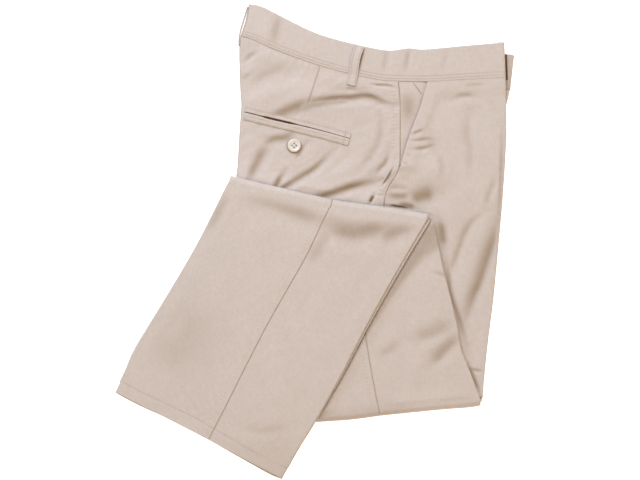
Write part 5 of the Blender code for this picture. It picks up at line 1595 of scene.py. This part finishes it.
def build_loops():
    """The belt loop near the side seam, and the one at the centre back, on its edge."""
    centre = resample(smooth(SIDE_LOOP), spaced(length_of(SIDE_LOOP), 0.8, RIM_STEPS, RIM_STEPS))
    half = SIDE_LOOP_WIDTH / 2
    across = spaced(SIDE_LOOP_WIDTH, STRIP_PITCH, STRIP_STEPS, STRIP_STEPS)
    grid = plan(shifted(centre, -half), shifted(centre, half), across)
    loop = rounded_strip("side_belt_loop", grid, side_loop_form, LOOP_WALL, LOOP_GRAIN)
    dressed(loop, "cotton_twill", "belt_loop_side")
    flat, area = cut_size(grid)

    length = length_of(CENTRE_LOOP)
    along = spaced(length, 1.0, STRIP_STEPS, STRIP_STEPS)
    outer_line = resample(smooth(CENTRE_LOOP), along)
    up = spaced(LOOP_STANDING_WIDTH, 0.7, STRIP_STEPS, STRIP_STEPS) * LOOP_STANDING_WIDTH
    rim = np.minimum.outer(np.minimum(along, 1.0 - along) * length,
                           np.minimum(up, LOOP_STANDING_WIDTH - up))
    drop, wall = rim_profile(rim, CENTRE_LOOP_WALL)
    normal = sideways(outer_line)
    grids = []
    for offset in (drop, drop + wall - 0.1):
        flat = outer_line[:, None] + normal[:, None] * offset[..., None]
        grids.append(np.dstack([flat, GAP + up[None] + 0.0 * rim]))
    back = shell("centre_back_belt_loop", *grids, 0.0 * rim, finish(TWILL), LOOP_GRAIN)
    dressed(back, "cotton_twill", "belt_loop_centre_back")


def mouth_width(x):
    """How far the back pocket's mouth stands open, along it."""
    narrow = 0.9 - 0.4 * step((x + 10.0) / 40.0)
    return narrow + 1.7 * step((x + 68.0) / 14.0) * (1.0 - step((x + 32.0) / 14.0))


def welt_form(x, y):
    """Top and shade of the welts of the back pocket."""
    side, along = beside(x, y, DENSE_WELT)
    height = trunk_form(x, y)[0] + waist_rise(x, y) + WELT_SEAT + WELT_WALL
    height, shade = with_rows(height, np.zeros(np.shape(x)), side, along, WELT_ROWS, 0.18)
    return height + 0.10 * np.sin(2.0 * math.pi * along / 7.5) * (side > 0.0), shade


LINING_HALF = 1.9      # half the width of the strip of painted shade under the mouth


def build_pocket():
    """The two welts of the back pocket, and a strip of lining in its mouth coloured with painted
    shade.
    """
    along = spaced(length_of(WELT_MOUTH_LINE), 1.0, STRIP_STEPS, STRIP_STEPS)
    mouth = resample(smooth(WELT_MOUTH_LINE), along)
    half = mouth_width(mouth[:, 0])[:, None] / 2
    normal = sideways(mouth)
    welts = []
    for name, sign, width in (("upper", 1.0, WELT_UPPER_WIDTH), ("lower", -1.0,
                                                               WELT_LOWER_WIDTH)):
        near, far = mouth + sign * half * normal, mouth + sign * (0.8 + width) * normal
        left, right = (near, far) if sign < 0.0 else (far, near)
        grid = plan(left, right, spaced(width, STRIP_PITCH, STRIP_STEPS, STRIP_STEPS))
        welts.append(rounded_strip(f"{name}_welt", grid[:, ::-1], welt_form, WELT_WALL,
                                   WELT_GRAIN))
    bpy.ops.object.select_all(action="DESELECT")
    for welt in welts:
        welt.select_set(True)
    bpy.context.view_layer.objects.active = welts[0]
    bpy.ops.object.join()
    piece = bpy.context.object
    piece.name = "back_pocket_welts"
    piece.select_set(False)
    dressed(piece, "cotton_twill", "welt_upper", "welt_lower")
    width = (WELT_UPPER_WIDTH + WELT_LOWER_WIDTH + 0.6) * MM

    across = np.linspace(-LINING_HALF, LINING_HALF, 9)
    grid = mouth[:, None] + normal[:, None] * across[None, :, None]
    x, y = grid[..., 0], grid[..., 1]
    top = back_form(x, y)[0] + 0.35 - 0.25 * (1.0 - (across / LINING_HALF) ** 2)[None]
    lining = shell("pocket_mouth_painted_shade", np.dstack([x, y, top])[:, ::-1],
                   np.dstack([x, y, top - 0.3])[:, ::-1], 0.0 * x, finish(POCKETING))
    dressed(lining, "cotton_twill_inner")


# ---- button ----

BUTTON_PROFILE = (     # radius, height
    (5.6, 0), (6.9, 0.15), (7.6, 0.5), (7.95, 1), (8, 1.4), (7.85, 1.9), (7.5, 2.3),
    (7, 2.55), (6.5, 2.6), (6, 2.5), (5.6, 2.3), (5.2, 2.05), (4.7, 1.92), (4, 1.88),
    (2, 1.85),
)
BUTTON_SIDES = 64
HOLE_RADIUS = 0.95
HOLE_OFFSET = 1.75
HOLE_FLARE = 1.35      # the holes widen to this share at the top
BUTTON_TURN = 0.35     # its holes stand this far out of line, in radians
BUTTON_THREAD = (0.22, 0.45)   # radius, and how far the thread stands up


def lathe(name, profile, sides, material):
    """A turned form, closed at its foot and top."""
    angle = 2.0 * math.pi * np.arange(sides) / sides
    rings = [np.stack([r * np.cos(angle), r * np.sin(angle), np.full(sides, h)], axis=1)
             for r, h in profile]
    number = np.arange(len(rings) * sides).reshape(len(rings), sides)
    faces = quads_around(number) + [number[0, ::-1].tolist(), number[-1].tolist()]
    return mesh_object(name, np.vstack(rings) + (*MIDDLE, 0.0), faces, material, turn_out=True)


def build_button():
    """The four-hole button under the back pocket, sewn on with two bars of thread."""
    button = lathe("back_pocket_button", BUTTON_PROFILE, BUTTON_SIDES, finish(RESIN))
    cutters = []
    for side_x, side_y in ((1, 1), (-1, 1), (-1, -1), (1, -1)):
        hole = lathe("hole_cutter", ((HOLE_RADIUS, -3.0), (HOLE_RADIUS, 1.6),
                                     (HOLE_RADIUS * HOLE_FLARE, 2.2),
                                     (HOLE_RADIUS * HOLE_FLARE, 5.0)), 20, finish(RESIN))
        hole.location = Vector((side_x, side_y, 0.0)) * HOLE_OFFSET * MM
        drilled = button.modifiers.new("hole", "BOOLEAN")
        drilled.object = hole
        drilled.solver = "EXACT"
        cutters.append(hole)
    bpy.context.view_layer.update()
    graph = bpy.context.evaluated_depsgraph_get()
    button.data = bpy.data.meshes.new_from_object(button.evaluated_get(graph))
    button.data.set_sharp_from_angle(angle=math.radians(40))
    button.modifiers.clear()
    for hole in cutters:
        bpy.data.objects.remove(hole, do_unlink=True)
    x, y = BUTTON_CENTRE
    reach = np.array([-8.0, 8.0])
    slope_x = np.diff(back_form(x + reach, np.full(2, y))[0])[0]
    slope_y = np.diff(back_form(np.full(2, x), y + reach)[0])[0]
    normal = Vector((-slope_x, -slope_y, 16.0)).normalized()
    base = float(back_form(np.array([x]), np.array([y]))[0][0]) + BUTTON_SEAT
    turn = normal.to_track_quat("Z", "Y").to_matrix().to_4x4()
    place = Matrix.Translation(placed((x, y, base))) @ turn
    place = place @ Matrix.Rotation(BUTTON_TURN, 4, "Z")
    button.matrix_world = place
    dressed(button, "button_resin", "pocket_button")
    bars = [side * HOLE_OFFSET + shift for side in (-1.0, 1.0) for shift in (-0.2, 0.2)]
    starts, stops = (np.array([(end, bar, 1.5) for bar in bars]) + (*MIDDLE, 0.0)
                     for end in (-HOLE_OFFSET, HOLE_OFFSET))
    sewn = stitches("button_thread", starts, stops, *BUTTON_THREAD)
    sewn.matrix_world = place
    dressed(sewn, "button_resin")


# ---- stitches ----

STITCH_ALONG = (0.0, 0.18, 0.5, 0.82, 1.0)
STITCH_GIRTH = (0.35, 0.85, 1.0, 0.85, 0.35)
STITCH_SIDES = 6
STITCH_ARCH = 0.1
STITCH_LIFT = 0.05     # the thread's middle over the cloth
TACK_LIFT = 0.1
TACK_WIDTH = 1.2


def stitches(name, starts, stops, radius, arch):
    """Short threads between pairs of points, arched up between their sunken ends."""
    along = np.array(STITCH_ALONG)
    girth = np.array(STITCH_GIRTH) * radius
    rise = arch * (1.0 - (2.0 * along - 1.0) ** 2)
    run = stops - starts
    side = np.stack([-run[:, 1], run[:, 0], 0.0 * run[:, 0]], axis=1)
    side /= np.linalg.norm(side, axis=1, keepdims=True)
    angle = 2.0 * math.pi * np.arange(STITCH_SIDES) / STITCH_SIDES
    points = (starts[:, None, None] + run[:, None, None] * along[None, :, None, None]
              + side[:, None, None] * (girth[:, None] * np.cos(angle))[None, :, :, None])
    points[..., 2] += (rise[:, None] + girth[:, None] * np.sin(angle))[None]
    number = np.arange(points.size // 3).reshape(points.shape[:3])
    faces = quads_around(number) + number[:, 0, ::-1].tolist() + number[:, -1].tolist()
    return mesh_object(name, points.reshape(-1, 3), faces, finish(THREAD), turn_out=True)


def on_form(flat, form, lift):
    """Plan points raised to a form's top and a little over it."""
    return np.column_stack([flat, form(flat[:, 0], flat[:, 1])[0] + lift])


def stitch_ends(points, form):
    """Starts and stops of the stitches of a row along a line, on a form."""
    sewing = bpy.context.scene.chino_sewing
    pitch, long = sewing.stitch_pitch / MM, sewing.stitch_length / MM
    dense = smooth(points)
    total = length_of(dense)
    first = (np.arange(int(total / pitch)) + 0.5) * pitch - long / 2
    return [on_form(resample(dense, np.clip(at / total, 0.0, 1.0)), form, STITCH_LIFT)
            for at in (first, first + long)]


def bar_ends(start, stop, form, count):
    """Starts and stops of the close stitches of a bar tack."""
    start, stop = np.asarray(start, float), np.asarray(stop, float)
    across = unit(start, stop) * TACK_WIDTH / 2
    middle = start + np.outer(np.linspace(0.0, 1.0, count), stop - start)
    return [on_form(middle + sign * across, form, TACK_LIFT) for sign in (-1.0, 1.0)]


def build_stitches():
    """Topstitching of the waistband, loops, pockets and hem."""
    radius = bpy.context.scene.chino_sewing.thread_radius / MM
    welt_line, loop_line = smooth(WELT_MOUTH_LINE), smooth(SIDE_LOOP)
    hem_line = smooth(HEM)
    hem_row = shifted(hem_line, HEM_DEPTH)
    rows = {
        "waistband_stitches": [stitch_ends(shifted(smooth(WAIST_SEAM), offset)[3:-3:6],
                                           band_form) for offset, _ in BAND_ROWS],
        "side_pocket_stitches": [bar_ends(*BAR_TACK, facing_form, 26)],
        "back_pocket_stitches": [stitch_ends(shifted(welt_line, offset)[2:-2:4], welt_form)
                                 for offset, _ in WELT_ROWS]
        + [bar_ends(shifted(welt_line, 5.0)[-3], shifted(welt_line, -7.4)[-3], welt_form, 18)],
        "loop_stitches": [stitch_ends(shifted(loop_line, offset)[1:-1:3], side_loop_form)
                          for offset in (-LOOP_ROW, LOOP_ROW)],
        "hem_stitches": [stitch_ends(hem_row[::6], shin_form)],
    }
    for name, parts in rows.items():
        starts = np.vstack([part[0] for part in parts])
        stops = np.vstack([part[1] for part in parts])
        dressed(stitches(name, starts, stops, radius, STITCH_ARCH), "cotton_twill")


# ---- stage ----

SENSOR_WIDTH = 36.0    # mm
CLOTH_LEVEL = 0.012    # m: the height at which the view has its stated width
CAMERA_PLACE = (0.0056, 0.0018)   # m
PAPER_LEVEL = -0.00015   # m: just under the cloth


def area_light(name, direction, distance, size, power, colour):
    """A square soft light at a distance from the origin, facing it."""
    light = bpy.data.lights.new(name, "AREA")
    light.size = size
    light.energy = power
    light.color = colour
    made = linked(name, light)
    direction = Vector(direction).normalized()
    made.location = direction * distance
    made.rotation_euler = direction.to_track_quat("Z", "Y").to_euler()
    return made


def build_studio():
    """White paper, a large soft light from the upper left, a weaker one, fill and camera."""
    scene = bpy.context.scene
    studio = scene.chino_studio
    half = studio.floor_size / 2
    corners = [(-half, -half), (half, -half), (half, half), (-half, half)]
    mesh = bpy.data.meshes.new("paper_sweep")
    mesh.from_pydata([(x, y, PAPER_LEVEL) for x, y in corners], [], [(0, 1, 2, 3)])
    mesh.materials.append(finish(PAPER))
    floor = linked("paper_sweep", mesh)
    key = area_light("key_light", studio.key_direction, studio.key_distance,
                     studio.key_size, studio.key_power, studio.key_colour)
    low = area_light("low_light", studio.low_direction, studio.low_distance,
                     studio.low_size, studio.low_power, studio.fill_colour)
    world = scene.world or bpy.data.worlds.new("studio")
    scene.world = world
    world.use_nodes = True
    sky = world.node_tree.nodes["Background"]
    sky.inputs["Color"].default_value = (*studio.fill_colour, 1.0)
    sky.inputs["Strength"].default_value = studio.fill_strength
    camera_data = bpy.data.cameras.new("camera")
    camera_data.sensor_width = SENSOR_WIDTH
    to_cloth = studio.camera_height - CLOTH_LEVEL
    camera_data.lens = SENSOR_WIDTH * to_cloth / studio.view_width
    camera = linked("camera", camera_data)
    camera.location = (*CAMERA_PLACE, studio.camera_height)
    scene.camera = camera
    scene.view_settings.view_transform = "Standard"


# ---- settings, operators and panel ----

def colour_setting(name, colour_hex, text):
    """A colour that a user would change."""
    return bpy.props.FloatVectorProperty(name=name, description=text, subtype="COLOR", size=3,
                                         default=linear(colour_hex))


def vector_setting(name, subtype, values, text):
    """A direction or the colour of a light."""
    return bpy.props.FloatVectorProperty(name=name, description=text, subtype=subtype, size=3,
                                         default=values)


def length_setting(name, metres, least, text):
    """A length in metres."""
    return bpy.props.FloatProperty(name=name, description=text, default=metres, min=least,
                                   unit="LENGTH")


def strength_setting(name, value, text):
    """The power or strength of a light."""
    return bpy.props.FloatProperty(name=name, description=text, default=value, min=0.0)


class ClothSettings(bpy.types.PropertyGroup):
    """Colours of the cloth and the fineness of its mesh."""

    colour: colour_setting("Cloth", "#C7BAB4", "Colour of the right side of the twill")
    inner_colour: colour_setting("Wrong side", "#C4B8B0",
                                 "Colour of the twill's wrong side and inner layers")
    # the colour of the painted shade at its deepest, in creases and shadows
    deep_shade_colour: colour_setting("Crease", "#604831",
                                  "Colour that the cloth turns to deep in its creases")
    # the colour of the painted shade in the back pocket's mouth
    mouth_shade_colour: colour_setting("Pocket gap", "#5A3B28",
                               "Colour of the lining that shows in the pocket's mouth")
    twill_pitch: length_setting("Twill pitch", 0.0016, 0.0004,
                                "From rib to rib; real twill is near 0.6 mm, drawn coarser so "
                                "that it shows")
    grid_pitch: length_setting("Grid pitch", 0.0015, 0.0008,
                               "From point to point of the cloth's mesh")


class SewingSettings(bpy.types.PropertyGroup):
    """Thread, stitches and button."""

    thread_colour: colour_setting("Thread", "#C0B0A0", "Colour of the sewing thread")
    button_colour: colour_setting("Button", "#DCD4CC", "Colour of the cast resin")
    stitch_pitch: length_setting("Stitch pitch", 0.0030, 0.001, "From stitch to stitch")
    stitch_length: length_setting("Stitch length", 0.0023, 0.0005,
                                  "Length of the thread that shows")
    thread_radius: length_setting("Thread radius", 0.0002, 0.00005,
                                  "Radius of the sewing thread")


class StudioSettings(bpy.types.PropertyGroup):
    """Paper, light and camera."""

    paper_colour: colour_setting("Paper", "#F7F7F7", "Colour of the paper under the garment")
    floor_size: length_setting("Paper size", 8.0, 1.0, "Side of the square of paper")
    key_direction: vector_setting("Key direction", "DIRECTION", (-0.36, 0.93, 0.95),
                                  "Where the key light stands")
    key_distance: length_setting("Key distance", 2.8, 0.5, "From the garment to the key light")
    key_size: length_setting("Key size", 2.6, 0.1, "Side of the square key light")
    key_power: strength_setting("Key power", 89.0, "Power of the key light in watts")
    key_colour: vector_setting("Key colour", "COLOR", (0.88, 1.0, 1.13),
                               "Colour of the key light")
    low_direction: vector_setting("Second direction", "DIRECTION", (0.55, -0.65, 0.9),
                                  "Where the weaker light stands")
    low_distance: length_setting("Second distance", 5.0, 0.5,
                                 "From the garment to the weaker light")
    low_size: length_setting("Second size", 3.0, 0.1, "Side of the weaker light")
    low_power: strength_setting("Second power", 85.0, "Power of the weaker light in watts")
    fill_colour: vector_setting("Fill colour", "COLOR", (1.0, 0.83, 0.61),
                                "Colour of the light from all round")
    fill_strength: strength_setting("Fill", 0.38, "Strength of the light from all round")
    camera_height: length_setting("Camera height", 4.0, 0.5, "Camera above the paper")
    view_width: length_setting("View width", 0.768, 0.1,
                               "Width that the camera sees at the cloth")


class ChinoOperator:
    """What the operators share."""

    bl_options = {"REGISTER", "UNDO"}

    def execute(self, context):
        self.build()
        return {"FINISHED"}


class CHINO_OT_studio(ChinoOperator, bpy.types.Operator):
    """Lay the paper and set up the light and the camera"""

    bl_idname = "chino.studio"
    bl_label = "Studio"
    build = staticmethod(build_studio)


class CHINO_OT_layers(ChinoOperator, bpy.types.Operator):
    """Build the layers that the folds hide"""

    bl_idname = "chino.layers"
    bl_label = "Folded layers"
    build = staticmethod(build_layers)


class CHINO_OT_trunk(ChinoOperator, bpy.types.Operator):
    """Build the right back and front panels and the side pocket's facing"""

    bl_idname = "chino.trunk"
    bl_label = "Seat and thigh"
    build = staticmethod(build_trunk)


class CHINO_OT_knees(ChinoOperator, bpy.types.Operator):
    """Build the left leg's panels at the knee"""

    bl_idname = "chino.knees"
    bl_label = "Knees"
    build = staticmethod(build_knees)


class CHINO_OT_shins(ChinoOperator, bpy.types.Operator):
    """Build the right leg's panels at the shin"""

    bl_idname = "chino.shins"
    bl_label = "Shins"
    build = staticmethod(build_shins)


class CHINO_OT_waistband(ChinoOperator, bpy.types.Operator):
    """Build both halves of the waistband"""

    bl_idname = "chino.waistband"
    bl_label = "Waistband"
    build = staticmethod(build_waistband)


class CHINO_OT_loops(ChinoOperator, bpy.types.Operator):
    """Build the belt loops"""

    bl_idname = "chino.loops"
    bl_label = "Belt loops"
    build = staticmethod(build_loops)


class CHINO_OT_pocket(ChinoOperator, bpy.types.Operator):
    """Build the welts of the back pocket"""

    bl_idname = "chino.pocket"
    bl_label = "Back pocket"
    build = staticmethod(build_pocket)


class CHINO_OT_button(ChinoOperator, bpy.types.Operator):
    """Build the back pocket's button"""

    bl_idname = "chino.button"
    bl_label = "Button"
    build = staticmethod(build_button)


class CHINO_OT_stitches(ChinoOperator, bpy.types.Operator):
    """Sew the stitches"""

    bl_idname = "chino.stitches"
    bl_label = "Stitches"
    build = staticmethod(build_stitches)


OPERATORS = (CHINO_OT_studio, CHINO_OT_layers, CHINO_OT_trunk, CHINO_OT_knees, CHINO_OT_shins,
             CHINO_OT_waistband, CHINO_OT_loops, CHINO_OT_pocket, CHINO_OT_button,
             CHINO_OT_stitches)
SETTINGS = (ClothSettings, SewingSettings, StudioSettings)


class CHINO_PT_panel(bpy.types.Panel):
    """Settings and steps of the folded chinos"""

    bl_idname = "CHINO_PT_panel"
    bl_label = "Chinos"
    bl_space_type = "VIEW_3D"
    bl_region_type = "UI"
    bl_category = "Chinos"

    def draw(self, context):
        scene = context.scene
        for settings in (scene.chino_cloth, scene.chino_sewing, scene.chino_studio):
            box = self.layout.box()
            for key in settings.bl_rna.properties.keys():
                if key not in ("rna_type", "name"):
                    box.prop(settings, key)
        for operator in OPERATORS:
            self.layout.operator(operator.bl_idname)


def register():
    for known in SETTINGS + OPERATORS + (CHINO_PT_panel,):
        bpy.utils.register_class(known)
    scene = bpy.types.Scene
    scene.chino_cloth = bpy.props.PointerProperty(type=ClothSettings)
    scene.chino_sewing = bpy.props.PointerProperty(type=SewingSettings)
    scene.chino_studio = bpy.props.PointerProperty(type=StudioSettings)


def unregister():
    del bpy.types.Scene.chino_studio
    del bpy.types.Scene.chino_sewing
    del bpy.types.Scene.chino_cloth
    for known in reversed(SETTINGS + OPERATORS + (CHINO_PT_panel,)):
        bpy.utils.unregister_class(known)


def main():
    register()
    bpy.ops.chino.studio()
    bpy.ops.chino.layers()
    bpy.ops.chino.trunk()
    bpy.ops.chino.knees()
    bpy.ops.chino.shins()
    bpy.ops.chino.waistband()
    bpy.ops.chino.loops()
    bpy.ops.chino.pocket()
    bpy.ops.chino.button()
    bpy.ops.chino.stitches()


if __name__ == "__main__":
    main()
